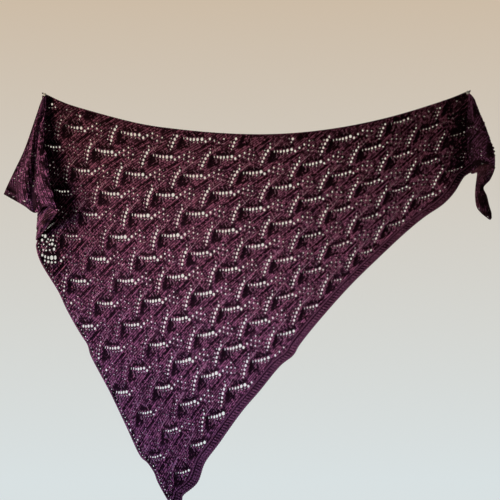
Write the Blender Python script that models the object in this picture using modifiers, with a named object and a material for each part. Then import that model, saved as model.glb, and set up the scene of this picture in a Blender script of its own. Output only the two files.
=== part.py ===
"""Triangular lace shawl, knitted in one piece, hanging from two pins in a wall.

Metres, +Z up, +X along the wall to the right, +Y into the wall. The wall's face is
the plane y = 0 and the origin is where the left pin enters it. The cloth stands in
front of the wall, at negative y, and its distance from the wall is called stand-off.

The knit is laid out in its own coordinates: the wale number, counted across the
columns of leaves, and the motif number, counted up each column. HANG says where
that grid hangs on the wall, and every outline is a line in the grid.
"""

import math
from collections import namedtuple

import bmesh
import bpy
import numpy as np
from mathutils.geometry import delaunay_2d_cdt

MM = 0.001
COLLECTION = "hung_lace_shawl"

# Driving sizes, in millimetres
CLOTH = 2.5  # thickness of the plain knit
THINNEST = 2.0  # in the hollows between the leaves
TALLEST = 4.5  # over a leaf's rib
SEAM = 0.3  # gap between two stretches of cloth
WALE_WIDTH = 79.0  # across one column of leaves, as hung
BASE_STAND_OFF = 5.0  # middle of the cloth to the wall where nothing lifts it
PIN_SPACING = 1035.1
PIN_RISE = 5.4  # right pin over the left one

# One repeat of the lace, in stitches across and rows up
STITCHES_PER_WALE = 15
ROWS_PER_MOTIF = 22
MOST_GAPS = 300
GAP_HALF_WIDTH = 2.7
GAP_HALF_HEIGHT = 5.0
GAP_MARGIN = 4.0  # cloth left between a gap and an edge
LADDER = (3, 2, 4, 1)  # the long ladder's gaps, largest first, as stitches from its foot
WALES = range(-1, 11)
MOTIFS = range(-2, 15)
# The raised rib and the hollow of each leaf, as (stitch, row) from its own corner
RIB = [(-2.0, 1.0), (-1.7, 5.5), (-1.0, 10.0)]
HOLLOW = [(1.4, -3.0), (9.7, 5.0), (9.9, 12.0)]
EDGE_CLEARANCE = 6.0  # no rib or hollow point is closer to an edge
GAP_CLEARANCE = 4.2

# Where the knit hangs: wale, then motif: (millimetres right, millimetres up)
HANG = {
    -1: {7.5: (17, 0)},
    0: {4: (-74, -238), 6: (7, -128), 8: (115, -34)},
    2: {3: (11, -400), 5: (92, -292), 7: (200, -191), 9.4: (375, -89)},
    4: {2: (94, -566), 4: (184, -456), 6: (286, -344), 8: (411, -240), 10.7: (612, -97)},
    6: {1: (177, -725), 3: (260, -612), 5: (368, -488), 7: (490, -370), 9: (627, -257), 12.2: (856, -55)},
    8: {0: (257, -882), 2: (331, -756), 4: (438, -621), 6: (566, -494), 8: (700, -367), 10: (847, -233),
        12: (982, -99), 14: (1110, 29)},
    10: {-1.5: (344, -1053), 1: (427, -885), 3: (521, -743), 5: (639, -609), 7: (772, -470), 9: (907, -332),
         11: (1044, -204)},
}

# Outlines as (wale, motif) pairs, each from its first corner to its last
TOP_EDGE = [(-1.22, 7.37), (-0.71, 7.52), (-0.21, 7.77), (1.01, 8.56), (2.04, 9.43), (3.66, 10.53),
            (5.28, 11.71), (6.86, 12.98), (7.39, 13.54)]
VALLEY_LINE = [(7.39, 13.54), (7.6, 13.28), (8.28, 12.47), (9.04, 11.76), (9.45, 11.44), (9.81, 11.17)]
BORDER_EDGE = [(9.57, -1.29), (9.55, -0.81), (9.53, -0.59), (9.75, -0.03), (9.69, 0.66), (9.79, 1.41),
               (9.84, 2.54), (9.89, 3.25), (9.87, 4.13), (9.95, 4.56), (9.86, 4.93), (9.76, 5.79),
               (9.68, 6.96), (9.72, 8.02), (9.82, 9.34), (9.97, 9.96), (9.93, 10.41), (9.79, 10.83),
               (9.74, 11.0), (9.81, 11.17)]
BOUND_OFF_EDGE = [(1.41, 3.23), (1.5, 3.01), (1.9, 2.7), (2.76, 2.36), (3.32, 2.05), (4.04, 1.74),
                  (4.44, 1.59), (4.78, 1.33), (5.83, 0.81), (6.92, 0.26), (7.72, -0.2), (8.03, -0.26),
                  (8.37, -0.42), (8.63, -0.65), (9.17, -1.03), (9.57, -1.29)]
FOLD_LINE = [(-1.22, 7.37), (-1.03, 7.16), (-0.36, 6.21), (0.43, 4.94), (0.84, 4.24), (1.17, 3.66),
             (1.41, 3.23)]
BORDER_WIDTH = 0.32  # wales
BORDER_FOOT_MOTIF = -1.08  # where its inner edge meets the bound-off edge
BORDER_HEAD_MOTIF = 11.42  # where its inner edge meets the valley
BORDER_THICKEST = 4.25  # over the welts
WELTS = [0.55, 1.0, 0.6, 1.0, 0.7]  # thickness across the border, as shares of that
SEAM_THICKNESS = 0.5  # the same share where the border meets the flap

# Samples along each outline
TOP_STEPS = 42
VALLEY_STEPS = 9
BORDER_STEPS = 48
BOUND_OFF_STEPS = 30
FOLD_STEPS = 14
FLAP_ROWS = 12

# Long soft folds that lift the cloth off the wall, millimetres
Fold = namedtuple("Fold", "name x0 z0 x1 z1 rise0 rise1 half_width")
FOLDS = [
    Fold("left edge off the wall", -10, -250, -5, -430, 10, 22, 75),
    Fold("swell beside the right valley", 975, -20, 990, -235, 5, 20, 60),
    Fold("border curling forward", 420, -920, 960, -300, 9, 7, 60),
    Fold("tip hanging free", 330, -1040, 300, -820, 16, 4, 90),
    Fold("upper wave", 150, -90, 600, -330, 3, 5, 70),
    Fold("middle wave", 60, -330, 470, -640, 4, 6, 80),
    Fold("right wave", 560, -110, 900, -190, 3, 7, 70),
]

# The left corner doubles back over itself below its pin. Each row is one section
# from the fold line, right to the ridge, then left across the flap to the selvage.
# down is the share of the fold line, and the rest are millimetres.
LeftSection = namedtuple(
    "LeftSection", "down ridge_x ridge_z ridge_off selvage_x selvage_z selvage_off pleat"
)
LEFT_FLAP = [
    LeftSection(0.10, 4, -15, 12, -7, -14, 17, 0.3),
    LeftSection(0.26, 1, -64, 20, -22, -59, 22, 2),
    LeftSection(0.46, 3, -130, 31, -47, -132, 26, 5),
    LeftSection(0.64, 11, -188, 41, -69, -180, 29, 7),
    LeftSection(0.80, 21, -240, 50, -87, -218, 32, 8),
    LeftSection(0.92, 34, -287, 56, -98, -244, 34, 6),
]
TURNED_HEM_END = (-13, -30, -350)  # where the turned layer's ridge side ends, x, y, z
PLEATS = [0.0, 0.5, -1.0, 0.9, -0.7, 0.0]  # stand-off across the flap, as shares of pleat
HEM_DROP = [0, 12, -6, -25, -12, 0]  # the flap's lower edge under the straight line
HEM_GROOVE = 7.0
FOLD_RADIUS = 2.6
# Points of a sharp fold as (right, forward) shares of the fold radius, from its start
FIRST_BEND = [(-0.8, 0.1), (-1.3, 1.0), (-0.7, 2.0)]
SECOND_BEND = [(0.0, 0.8), (-0.9, 1.9)]

# The right corner rises out of the valley, turns over an outer fold and hangs behind.
RightSection = namedtuple(
    "RightSection", "down outer_x outer_z outer_off back_x back_z back_off swell"
)
RIGHT_FLAP = [
    RightSection(0.10, 1048, -7, 17, 1045, -9, 8, 1),
    RightSection(0.28, 1062, -45, 29, 1051, -48, 7, 4),
    RightSection(0.48, 1078, -86, 41, 1062, -90, 8, 6),
    RightSection(0.68, 1089, -122, 48, 1069, -129, 9, 7),
    RightSection(0.86, 1097, -155, 52, 1075, -163, 10, 7),
    RightSection(1.00, 1097, -177, 50, 1079, -190, 12, 4),
]
CREASE_RISE = 14.0  # the flap's lower edge arches up over the tail
CREASE_FROM = 0.86  # share of the valley where that arch starts
VALLEY_CURVE = [(0.28, 0.2, 0.5), (0.55, -1.0, 1.0)]  # share across, swell, rise of the crease
HIDDEN_BULGE = 2.0  # the layer behind swells to the right
TAIL_LEAD = 4.0  # the tail first runs on in the flap's own direction
TAIL_ROWS = 18
VALLEY_RUN = 1.6  # the flap first runs on flat out of the valley
VALLEY_GAP = 0.7
TailSection = namedtuple(
    "TailSection", "left_x left_z left_off crest_x crest_z crest_off right_x right_z right_off"
)
CORNER_TAIL = [
    TailSection(1056, -190, 18, 1075, -186, 46, 1096, -189, 46),
    TailSection(1055, -208, 26, 1071, -207, 42, 1087, -209, 38),
    TailSection(1052, -226, 33, 1062, -227, 37, 1072, -227, 30),
    TailSection(1051, -250, 36, 1065, -248, 43, 1080, -247, 26),
    TailSection(1055, -276, 38, 1069, -272, 45, 1086, -271, 24),
    TailSection(1067, -291, 36, 1079, -289, 39, 1091, -288, 26),
    TailSection(1085, -305, 33, 1088, -306, 32, 1092, -302, 30),
]

# Pins, millimetres
NEEDLE_RADIUS = 0.6
NEEDLE_IN_WALL = 9.0
NEEDLE_POINT = 3.0
PIN_CLEARANCE = 0.35  # round the needle, and under the head
SEAT_MARGIN = 1.0  # plain cloth round the head
HEAD_PROFILE = [(4.6, 0.0), (4.6, 1.2), (2.6, 2.4), (2.2, 5.0), (2.6, 7.4), (4.0, 8.6), (4.0, 9.8),
                (3.0, 10.4)]  # radius and height over the cloth


def clear_scene():
    for old in list(bpy.data.objects):
        bpy.data.objects.remove(old)


def new_collection(name):
    collection = bpy.data.collections.new(name)
    bpy.context.scene.collection.children.link(collection)
    return collection


def material(name, colour, roughness, metallic=0.0):
    made = bpy.data.materials.new(name)
    made.use_nodes = True
    shader = made.node_tree.nodes["Principled BSDF"]
    shader.inputs["Base Color"].default_value = (*colour, 1.0)
    shader.inputs["Roughness"].default_value = roughness
    shader.inputs["Metallic"].default_value = metallic
    return made


def thin_plate(places, values):
    """The smoothest bending of the grid that takes each place to its value."""
    places = np.array(places, float)
    count = len(places)

    def kernel(points):
        reach = np.linalg.norm(points[:, None] - places[None], axis=2)
        return reach**2 * np.log(np.maximum(reach, 1e-9))

    flat = np.column_stack([np.ones(count), places])
    system = np.block([[kernel(places), flat], [flat.T, np.zeros((3, 3))]])
    weights = np.linalg.solve(system, np.vstack([values, np.zeros((3, 2))]))

    def bend(points):
        points = np.atleast_2d(np.array(points, float))
        planes = np.column_stack([np.ones(len(points)), points])
        return kernel(points) @ weights[:count] + planes @ weights[count:]

    return bend


HANG_PLACES = [(wale, motif) for wale, row in HANG.items() for motif in row]
HANG_VALUES = [spot for row in HANG.values() for spot in row.values()]
hang = thin_plate(HANG_PLACES, HANG_VALUES)


def smooth_line(points, steps):
    """A Catmull-Rom curve through the points, cut into equal steps along its length."""
    points = np.array(points, float)
    ends = np.vstack([2 * points[0] - points[1], points, 2 * points[-1] - points[-2]])
    fine = []
    for i in range(1, len(ends) - 2):
        before, start, stop, after = ends[i - 1 : i + 3]
        for t in np.arange(0, 1, 0.1):
            bend = 2 * before - 5 * start + 4 * stop - after
            twist = 3 * start - before - 3 * stop + after
            fine.append(0.5 * (2 * start + (stop - before) * t + bend * t**2 + twist * t**3))
    fine.append(points[-1])
    fine = np.array(fine)
    lengths = np.r_[0, np.cumsum(np.linalg.norm(np.diff(fine, axis=0), axis=1))]
    wanted = np.linspace(0, lengths[-1], steps + 1)
    return np.column_stack([np.interp(wanted, lengths, column) for column in fine.T])


def catmull(rows, at, knots=None):
    """Rows of numbers read between at places on their knots, which count up from 0."""
    rows = np.array(rows, float)
    knots = np.arange(len(rows), dtype=float) if knots is None else np.array(knots, float)
    spans = np.diff(knots)
    slopes = np.diff(rows, axis=0) / spans.reshape(-1, *[1] * (rows.ndim - 1))
    tangents = np.concatenate([slopes[:1], slopes, slopes[-1:]])
    tangents = 0.5 * (tangents[:-1] + tangents[1:])
    found = []
    for place in at:
        i = min(max(int(np.searchsorted(knots, place, "right")) - 1, 0), len(rows) - 2)
        t = (place - knots[i]) / spans[i]
        rise = rows[i + 1] - rows[i]
        lean = tangents[i] * spans[i] - rise
        tilt = rise - tangents[i + 1] * spans[i]
        found.append(rows[i] + rise * t + t * (1 - t) * ((1 - t) * lean + t * tilt))
    return np.array(found)


def stand_off(spots):
    """How far the middle of the cloth is from the wall at each (x, z)."""
    off = np.full(len(spots), BASE_STAND_OFF)
    for fold in FOLDS:
        start = np.array((fold.x0, fold.z0), float)
        run = np.array((fold.x1, fold.z1), float) - start
        along = np.clip((spots - start) @ run / (run @ run), 0, 1)
        reach = np.linalg.norm(spots - start - along[:, None] * run, axis=1)
        rise = fold.rise0 + (fold.rise1 - fold.rise0) * along
        off += rise * np.exp(-((reach / fold.half_width) ** 2) * 1.5)
    return off


def drape(places):
    """World millimetres of (wale, motif) places on the middle of the main cloth."""
    spots = hang(places)
    return np.column_stack([spots[:, 0], -stand_off(spots), spots[:, 1]])


def stitch_place(wale, motif, stitch, row):
    """A place some stitches across and rows up from a motif's own corner."""
    return (
        wale + stitch / STITCHES_PER_WALE,
        motif - stitch / (2 * STITCHES_PER_WALE) + row / ROWS_PER_MOTIF,
    )


def link_mesh(name, mesh, surface, collection):
    mesh.materials.append(surface)
    made = bpy.data.objects.new(name, mesh)
    collection.objects.link(made)
    return made


def add_wall(made, thickness, offset, group=None, thinnest=1.0):
    solid = made.modifiers.new("wall", "SOLIDIFY")
    solid.thickness = thickness * MM
    solid.offset = offset
    if group:
        solid.vertex_group = group
        solid.thickness_vertex_group = thinnest


def inside(outline, spots):
    """Which spots lie in a closed outline, by counting crossings."""
    spots = np.atleast_2d(spots)
    held = np.zeros(len(spots), bool)
    for (x0, z0), (x1, z1) in zip(outline, np.roll(outline, -1, axis=0)):
        crosses = (z0 > spots[:, 1]) != (z1 > spots[:, 1])
        rise = z1 - z0 if z1 != z0 else 1e-12
        held ^= crosses & (spots[:, 0] < x0 + (spots[:, 1] - z0) * (x1 - x0) / rise)
    return held


def edge_distance(outline, spot):
    """The shortest distance from a spot to a closed outline."""
    run = np.roll(outline, -1, axis=0) - outline
    along = np.einsum("ij,ij->i", spot - outline, run) / np.einsum("ij,ij->i", run, run)
    nearest = outline + np.clip(along, 0, 1)[:, None] * run
    return np.linalg.norm(nearest - spot, axis=1).min()


def border_inner_edge():
    outer = smooth_line(BORDER_EDGE, BORDER_STEPS)
    inner = outer - (BORDER_WIDTH, 0)
    inner[0] = (outer[0][0] - BORDER_WIDTH, BORDER_FOOT_MOTIF)
    inner[-1] = (outer[-1][0] - BORDER_WIDTH, BORDER_HEAD_MOTIF)
    return outer, inner


def lace_outline():
    """The main lace's own edge: bound-off edge, border seam, valley, top and fold line."""
    _, inner = border_inner_edge()
    inner = inner - (SEAM / WALE_WIDTH, 0)
    bound_off = smooth_line(BOUND_OFF_EDGE, BOUND_OFF_STEPS)
    valley = smooth_line(VALLEY_LINE, VALLEY_STEPS)[::-1]
    top = smooth_line(TOP_EDGE, TOP_STEPS)[::-1]
    fold = smooth_line(FOLD_LINE, FOLD_STEPS)
    bound_off = bound_off[bound_off[:, 0] < inner[0][0] - 0.1]
    valley = valley[valley[:, 0] < inner[-1][0] - 0.05]
    return np.vstack([bound_off[:-1], inner, valley[:-1], top[:-1], fold[:-1]])


def lace_gaps(outline):
    """The largest gaps of each motif's long ladder, those of every motif first."""
    hung_outline = hang(outline)
    gaps = []
    for stitch in LADDER:
        for wale in WALES:
            for motif in MOTIFS:
                centre = hang([stitch_place(wale, motif, stitch, 2 * stitch)])[0]
                if not inside(hung_outline, centre)[0]:
                    continue
                if edge_distance(hung_outline, centre) < GAP_HALF_HEIGHT + GAP_MARGIN:
                    continue
                gaps.append(centre)
    return gaps[:MOST_GAPS]


def leaf_points():
    """(place, thickness) for the rib and the hollow of every motif."""
    for wale in WALES:
        for motif in MOTIFS:
            for stitch, row in RIB:
                yield stitch_place(wale, motif, stitch, row), TALLEST
            for stitch, row in HOLLOW:
                yield stitch_place(wale, motif, stitch, row), THINNEST


def ring(centre, radius, count=8):
    turns = [math.tau * k / count for k in range(count)]
    return [(centre[0] + radius * math.cos(t), centre[1] + radius * math.sin(t)) for t in turns]


def make_main_lace(surface, collection):
    outline = lace_outline()
    edge = hang(outline)
    points = [tuple(spot) for spot in edge]
    loops = [list(range(len(points)))]
    heights = [CLOTH] * len(points)
    gaps = lace_gaps(outline)
    lozenge = [(GAP_HALF_WIDTH, 0), (0, GAP_HALF_HEIGHT), (-GAP_HALF_WIDTH, 0), (0, -GAP_HALF_HEIGHT)]
    for x, z in gaps:
        loops.append(list(range(len(points), len(points) + 4)))
        points += [(x + right, z + up) for right, up in lozenge]
        heights += [CLOTH] * 4
    hole_radius = NEEDLE_RADIUS + PIN_CLEARANCE
    pins = np.array([(0.0, 0.0), (PIN_SPACING, PIN_RISE)])
    seat_radius = HEAD_PROFILE[0][0] + SEAT_MARGIN
    for pin in pins:
        loops.append(list(range(len(points), len(points) + 8)))
        points += ring(pin, hole_radius)
        seat = [spot for spot in ring(pin, seat_radius) if inside(edge, spot)[0]]
        points += [spot for spot in seat if edge_distance(edge, np.array(spot)) > 1]
        heights += [CLOTH] * (len(points) - len(heights))
    gap_spots = np.array(gaps)
    for place, height in leaf_points():
        spot = hang([place])[0]
        if not inside(edge, spot)[0] or edge_distance(edge, spot) < EDGE_CLEARANCE:
            continue
        if np.linalg.norm(pins - spot, axis=1).min() < 2 * seat_radius:
            continue
        away = (gap_spots - spot) / (1, GAP_HALF_HEIGHT / GAP_HALF_WIDTH)
        if np.linalg.norm(away, axis=1).min() < GAP_CLEARANCE:
            continue
        points.append(tuple(spot))
        heights.append(height)
    edges = [(loop[i - 1], loop[i]) for loop in loops for i in range(len(loop))]
    verts, _, faces, origins, _, _ = delaunay_2d_cdt(points, edges, [], 1, 1e-5, True)
    spots = np.array([tuple(v) for v in verts])
    middles = np.array([spots[list(face)].mean(axis=0) for face in faces])
    cloth = inside(edge, middles)
    for loop in loops[1:]:
        cloth &= ~inside(np.array([points[i] for i in loop]), middles)
    faces = [face for face, kept in zip(faces, cloth) if kept]
    back = np.column_stack([spots[:, 0], CLOTH / 2 - stand_off(spots), spots[:, 1]]) * MM
    mesh = bpy.data.meshes.new("main_lace")
    mesh.from_pydata(back.tolist(), [], [list(face) for face in faces])
    made = link_mesh("main_lace", mesh, surface, collection)
    group = made.vertex_groups.new(name="thickness")
    for vertex, origin in enumerate(origins):
        height = max([heights[i] for i in origin], default=CLOTH)
        group.add([vertex], (height - THINNEST) / (TALLEST - THINNEST), "REPLACE")
    face_front(mesh)
    add_wall(made, TALLEST, 1.0, "thickness", THINNEST / TALLEST)
    return made


def face_front(mesh):
    """Turns an open sheet so that its faces look away from the wall."""
    shape = bmesh.new()
    shape.from_mesh(mesh)
    bmesh.ops.recalc_face_normals(shape, faces=shape.faces)
    total = sum(face.normal.y * face.calc_area() for face in shape.faces)
    if total > 0:
        bmesh.ops.reverse_faces(shape, faces=shape.faces)
    shape.to_mesh(mesh)
    shape.free()


def grid_sheet(name, grid, surface, collection):
    """An open sheet of quads from a grid of world millimetres."""
    grid = np.array(grid, float)
    rows, columns = grid.shape[:2]
    faces = []
    for i in range(rows - 1):
        for j in range(columns - 1):
            corner = i * columns + j
            faces.append((corner, corner + 1, corner + columns + 1, corner + columns))
    mesh = bpy.data.meshes.new(name)
    mesh.from_pydata((grid.reshape(-1, 3) * MM).tolist(), [], faces)
    return link_mesh(name, mesh, surface, collection)


def make_border(surface, collection):
    """The garter border under the lace, with two raised welts along it."""
    outer, inner = border_inner_edge()
    across = np.linspace(0, 1, len(WELTS))
    places = np.array([inner + share * (outer - inner) for share in across]).transpose(1, 0, 2)
    rows, columns = places.shape[:2]
    grid = drape(places.reshape(-1, 2)).reshape(rows, columns, 3)
    made = grid_sheet("lower_border", grid, surface, collection)
    group = made.vertex_groups.new(name="thickness")
    for i in range(rows):
        for j in range(columns):
            weight = SEAM_THICKNESS if i == rows - 1 else WELTS[j]
            group.add([i * columns + j], weight, "REPLACE")
    face_front(made.data)
    add_wall(made, BORDER_THICKEST, 0.0, "thickness", 0.0)
    return made


def left_rows():
    """Sections of the left corner: the layer turned under, then the flap in front of it."""
    fold = drape(smooth_line(FOLD_LINE, FOLD_STEPS))
    fold_shares = np.linspace(0, 1, FOLD_STEPS + 1)
    knots = [section.down for section in LEFT_FLAP]
    last = knots[-1]
    rows = []
    for share in np.r_[np.linspace(knots[0], last, FLAP_ROWS), np.linspace(last, 1.0, 4)[1:]]:
        section = LeftSection(*catmull(LEFT_FLAP, [min(share, last)], knots)[0])
        spot = [np.interp(share, fold_shares, column) for column in fold.T]
        start = np.array(spot) + (-SEAM, 0, 0)
        ridge = np.array((section.ridge_x, -section.ridge_off, section.ridge_z))
        closed = max(0.0, (share - last) / (1.0 - last))
        ridge = ridge * (1 - closed) + np.array(TURNED_HEM_END) * closed
        bend = FOLD_RADIUS * min(1.0, 0.65 + 1.2 * share)
        bends = [start + np.array((right, -forward, 0)) * bend for right, forward in FIRST_BEND]
        closing = [ridge + np.array((right, forward, 0)) * bend for right, forward in SECOND_BEND]
        turned = [start, *bends, 0.5 * (bends[-1] + closing[-1]), *closing[::-1], ridge]
        if closed:
            rows.append((turned, None))
            continue
        ridge = ridge + (0, -SEAM, 0)
        opening = [ridge + np.array((right, -forward, 0)) * bend for right, forward in SECOND_BEND]
        selvage = np.array((section.selvage_x, -section.selvage_off - 2 * bend, section.selvage_z))
        low = max(0.0, (share - knots[-2]) / (last - knots[-2]))
        groove = HEM_GROOVE * math.sin(math.pi * min(1.0, low * 1.35))
        flap = [ridge, opening[0]]
        for part, pleat, drop in zip(np.linspace(0, 1, len(PLEATS)), PLEATS, HEM_DROP):
            spot = opening[-1] * (1 - part) + selvage * part
            flap.append(spot + (0, groove * (0 < part < 1) - section.pleat * pleat, drop * low**2))
        rows.append((turned, flap))
    return rows


def patch_from_rows(name, rows, surface, collection):
    """A cloth wall through section rows, straight at both ends, where the seams are."""
    last = len(rows[0]) - 1
    columns = np.r_[0, np.arange(1, last - 0.9, 0.5), last]
    grid = np.array([catmull(row, columns) for row in rows])
    made = grid_sheet(name, grid, surface, collection)
    add_wall(made, CLOTH, 0.0)
    return grid


def make_left_corner(turned_surface, flap_surface, collection):
    rows = left_rows()
    patch_from_rows("left_turned_layer", [row for row, _ in rows], turned_surface, collection)
    patch_from_rows("left_corner_flap", [row for _, row in rows if row], flap_surface, collection)


def valley_seam():
    """The valley's line on the cloth in millimetres, and each point's share down it."""
    outer, inner = border_inner_edge()
    valley = smooth_line(VALLEY_LINE, VALLEY_STEPS)
    valley = np.vstack([valley[valley[:, 0] < inner[-1][0] - 0.05], inner[-1], outer[-1]])
    corners = drape(valley)
    shares = np.r_[0, np.cumsum(np.linalg.norm(np.diff(corners, axis=0), axis=1))]
    return corners, shares / shares[-1]


def right_rows():
    """Sections of the right corner: valley, swell, outer fold and the layer behind."""
    knots = [section.down for section in RIGHT_FLAP]
    corners, corner_shares = valley_seam()
    shares = [knots[0], *(share for share in corner_shares if share > knots[0] + 0.02)]
    shares = np.sort(np.r_[shares, 0.5 * (np.array(shares[1:]) + shares[:-1])])
    rows = []
    for share in shares:
        _, ox, oz, o_off, bx, bz, b_off, swell = catmull(RIGHT_FLAP, [share], knots)[0]
        start = [np.interp(share, corner_shares, column) for column in corners.T]
        start = np.array(start) + (VALLEY_GAP, 0, 0)
        outer = np.array((ox, -o_off, oz))
        behind = np.array((bx, -b_off, bz))
        arch = CREASE_RISE * max(0.0, (share - CREASE_FROM) / (1.0 - CREASE_FROM))
        bend = min(FOLD_RADIUS, 0.2 * (o_off - b_off))
        closing = [outer + np.array((right, -forward, 0)) * bend for right, forward in SECOND_BEND]
        opening = [outer + np.array((right, forward, 0)) * bend for right, forward in SECOND_BEND]
        flap_row = [start, start + (VALLEY_RUN, 0, 0)]
        for part, out, up in VALLEY_CURVE:
            flap_row.append((1 - part) * start + part * closing[1] + (0, out * swell, up * arch))
        flap_row += [*closing[::-1], outer]
        hidden = 0.5 * (opening[1] + behind) + (HIDDEN_BULGE, 0, 0)
        rows.append((flap_row, [outer + (0, SEAM, 0), *opening, hidden, behind]))
    return rows


def make_right_corner(flap_surface, turned_surface, collection):
    rows = right_rows()
    grid = patch_from_rows("right_corner_flap", [row for row, _ in rows], flap_surface, collection)
    patch_from_rows("right_turned_layer", [row for _, row in rows], turned_surface, collection)
    return grid


def make_tail(surface, collection, flap_grid):
    """The shawl's far corner, a narrow twisted strip under the right flap."""
    columns = np.linspace(0, 2, flap_grid.shape[1])
    onward = flap_grid[-1] - flap_grid[-2]
    onward /= np.linalg.norm(onward, axis=1)[:, None]
    rows = [flap_grid[-1] + onward * SEAM, flap_grid[-1] + onward * TAIL_LEAD]
    for section in CORNER_TAIL:
        left = (section.left_x, -section.left_off, section.left_z)
        crest = (section.crest_x, -section.crest_off, section.crest_z)
        right = (section.right_x, -section.right_off, section.right_z)
        rows.append(catmull([left, crest, right], columns))
    steps = [np.linalg.norm(b - a, axis=1).mean() for a, b in zip(rows, rows[1:])]
    knots = np.r_[0, np.cumsum(steps)]
    grid = catmull(rows, np.r_[0, np.linspace(TAIL_LEAD, knots[-1], TAIL_ROWS)], knots)
    made = grid_sheet("corner_tail", grid, surface, collection)
    add_wall(made, CLOTH, 0.0)
    return made


def make_pin(name, x, z, surface, collection):
    """A push pin: a needle through the cloth's corner into the wall, and a waisted head."""
    cloth_front = stand_off(np.array([(x, z)]))[0] + CLOTH / 2
    seat = cloth_front + PIN_CLEARANCE
    profile = [(0.0, -NEEDLE_IN_WALL), (NEEDLE_RADIUS, NEEDLE_POINT - NEEDLE_IN_WALL), (NEEDLE_RADIUS, seat)]
    profile += [(radius, seat + height) for radius, height in HEAD_PROFILE]
    profile.append((0.0, seat + HEAD_PROFILE[-1][1]))
    mesh = bpy.data.meshes.new(name)
    line = [(radius * MM, 0.0, height * MM) for radius, height in reversed(profile)]
    mesh.from_pydata(line, [(i, i + 1) for i in range(len(line) - 1)], [])
    made = link_mesh(name, mesh, surface, collection)
    made.location = (x * MM, 0.0, z * MM)
    made.rotation_euler = (math.radians(90), 0.0, 0.0)
    turn = made.modifiers.new("turn", "SCREW")
    turn.steps = turn.render_steps = 16
    turn.use_merge_vertices = True
    turn.merge_threshold = 0.00001
    return made


def main():
    clear_scene()
    collection = new_collection(COLLECTION)
    plum = (0.115, 0.045, 0.095)
    make_main_lace(material("lace_wool", plum, 0.9), collection)
    make_border(material("border_wool", (0.125, 0.05, 0.105), 0.9), collection)
    make_left_corner(material("turned_wool", (0.14, 0.06, 0.12), 0.9),
                     material("flap_wool", (0.14, 0.055, 0.115), 0.9), collection)
    flap_grid = make_right_corner(material("right_flap_wool", plum, 0.9),
                                  material("right_turned_wool", (0.09, 0.035, 0.075), 0.9), collection)
    make_tail(material("tail_wool", (0.1, 0.04, 0.09), 0.9), collection, flap_grid)
    make_pin("left_pin", 0.0, 0.0, material("left_pin_plastic", (0.85, 0.86, 0.86), 0.2), collection)
    make_pin("right_pin", PIN_SPACING, PIN_RISE,
             material("right_pin_plastic", (0.85, 0.86, 0.86), 0.2), collection)


main()
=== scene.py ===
"""Triangular lace shawl, hung on two wall pins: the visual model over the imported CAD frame.

Millimetres inside the functions and metres in the meshes. +X runs along the wall, +Y into
it and +Z up, and the cloth's distance from the wall is its stand-off. The knit has its own
coordinates: u counts stitches across and v counts rows up, and HANG says where they hang.
"""

import math
from collections import namedtuple

import bpy
import numpy as np
from bpy.props import FloatProperty, FloatVectorProperty, IntProperty, PointerProperty
from mathutils.geometry import delaunay_2d_cdt
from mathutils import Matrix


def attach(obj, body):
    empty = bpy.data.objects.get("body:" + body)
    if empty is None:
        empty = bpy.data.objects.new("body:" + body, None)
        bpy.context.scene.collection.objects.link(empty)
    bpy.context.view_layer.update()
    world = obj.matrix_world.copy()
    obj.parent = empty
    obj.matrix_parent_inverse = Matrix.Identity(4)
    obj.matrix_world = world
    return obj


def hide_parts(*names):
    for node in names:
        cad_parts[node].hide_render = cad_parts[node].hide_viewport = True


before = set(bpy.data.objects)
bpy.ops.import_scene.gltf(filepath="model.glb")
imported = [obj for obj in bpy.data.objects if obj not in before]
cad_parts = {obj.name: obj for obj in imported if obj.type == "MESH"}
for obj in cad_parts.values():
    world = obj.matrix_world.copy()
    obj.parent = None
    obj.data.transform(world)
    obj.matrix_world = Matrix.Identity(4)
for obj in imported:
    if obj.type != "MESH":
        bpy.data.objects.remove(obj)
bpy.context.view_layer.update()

bl_info = {
    "name": "Hung lace shawl",
    "version": (1, 0, 0),
    "blender": (4, 5, 0),
    "location": "View3D > Sidebar > Shawl",
    "description": "Builds the knitted lace, its border, its folded corners and the pins",
    "category": "Object",
}

MM = 0.001
PIXEL = 2.45  # millimetres of wall across one pixel of the picture

# One repeat of the lace
STITCHES = 15
ROWS = 22
HALF_DROP = ROWS // 2  # rows by which each wale of motifs starts above the one before it
# Steps on the wall of one stitch across and one row up, millimetres right and up
STITCH_STEP = np.array((2.53, -4.82))
ROW_STEP = np.array((2.78, 2.56))
KNIT_TO_WALL = np.column_stack([STITCH_STEP, ROW_STEP])
WALL_TO_KNIT = np.linalg.inv(KNIT_TO_WALL)

# Where the knit hangs: wale of leaves, then motif: (millimetres right, millimetres up)
HANG = {
    -1: {7.5: (8, 6)},
    0: {4: (-82, -232), 6: (1, -123), 8: (108, -30)},
    2: {3: (0, -396), 5: (89, -289), 7: (198, -190), 9.4: (369, -87)},
    4: {2: (81, -563), 4: (178, -453), 6: (286, -343), 8: (412, -239), 10.7: (612, -98)},
    6: {1: (169, -726), 3: (257, -611), 5: (367, -487), 7: (492, -371), 9: (629, -259), 12.2: (861, -57)},
    8: {0: (252, -886), 2: (332, -758), 4: (440, -622), 6: (566, -497), 8: (700, -372), 10: (844, -238),
        12: (986, -103), 14: (1119, 26)},
    10: {-1.5: (340, -1059), 1: (428, -890), 3: (524, -747), 5: (639, -614), 7: (770, -476), 9: (902, -338),
         11: (1043, -210)},
}

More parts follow.
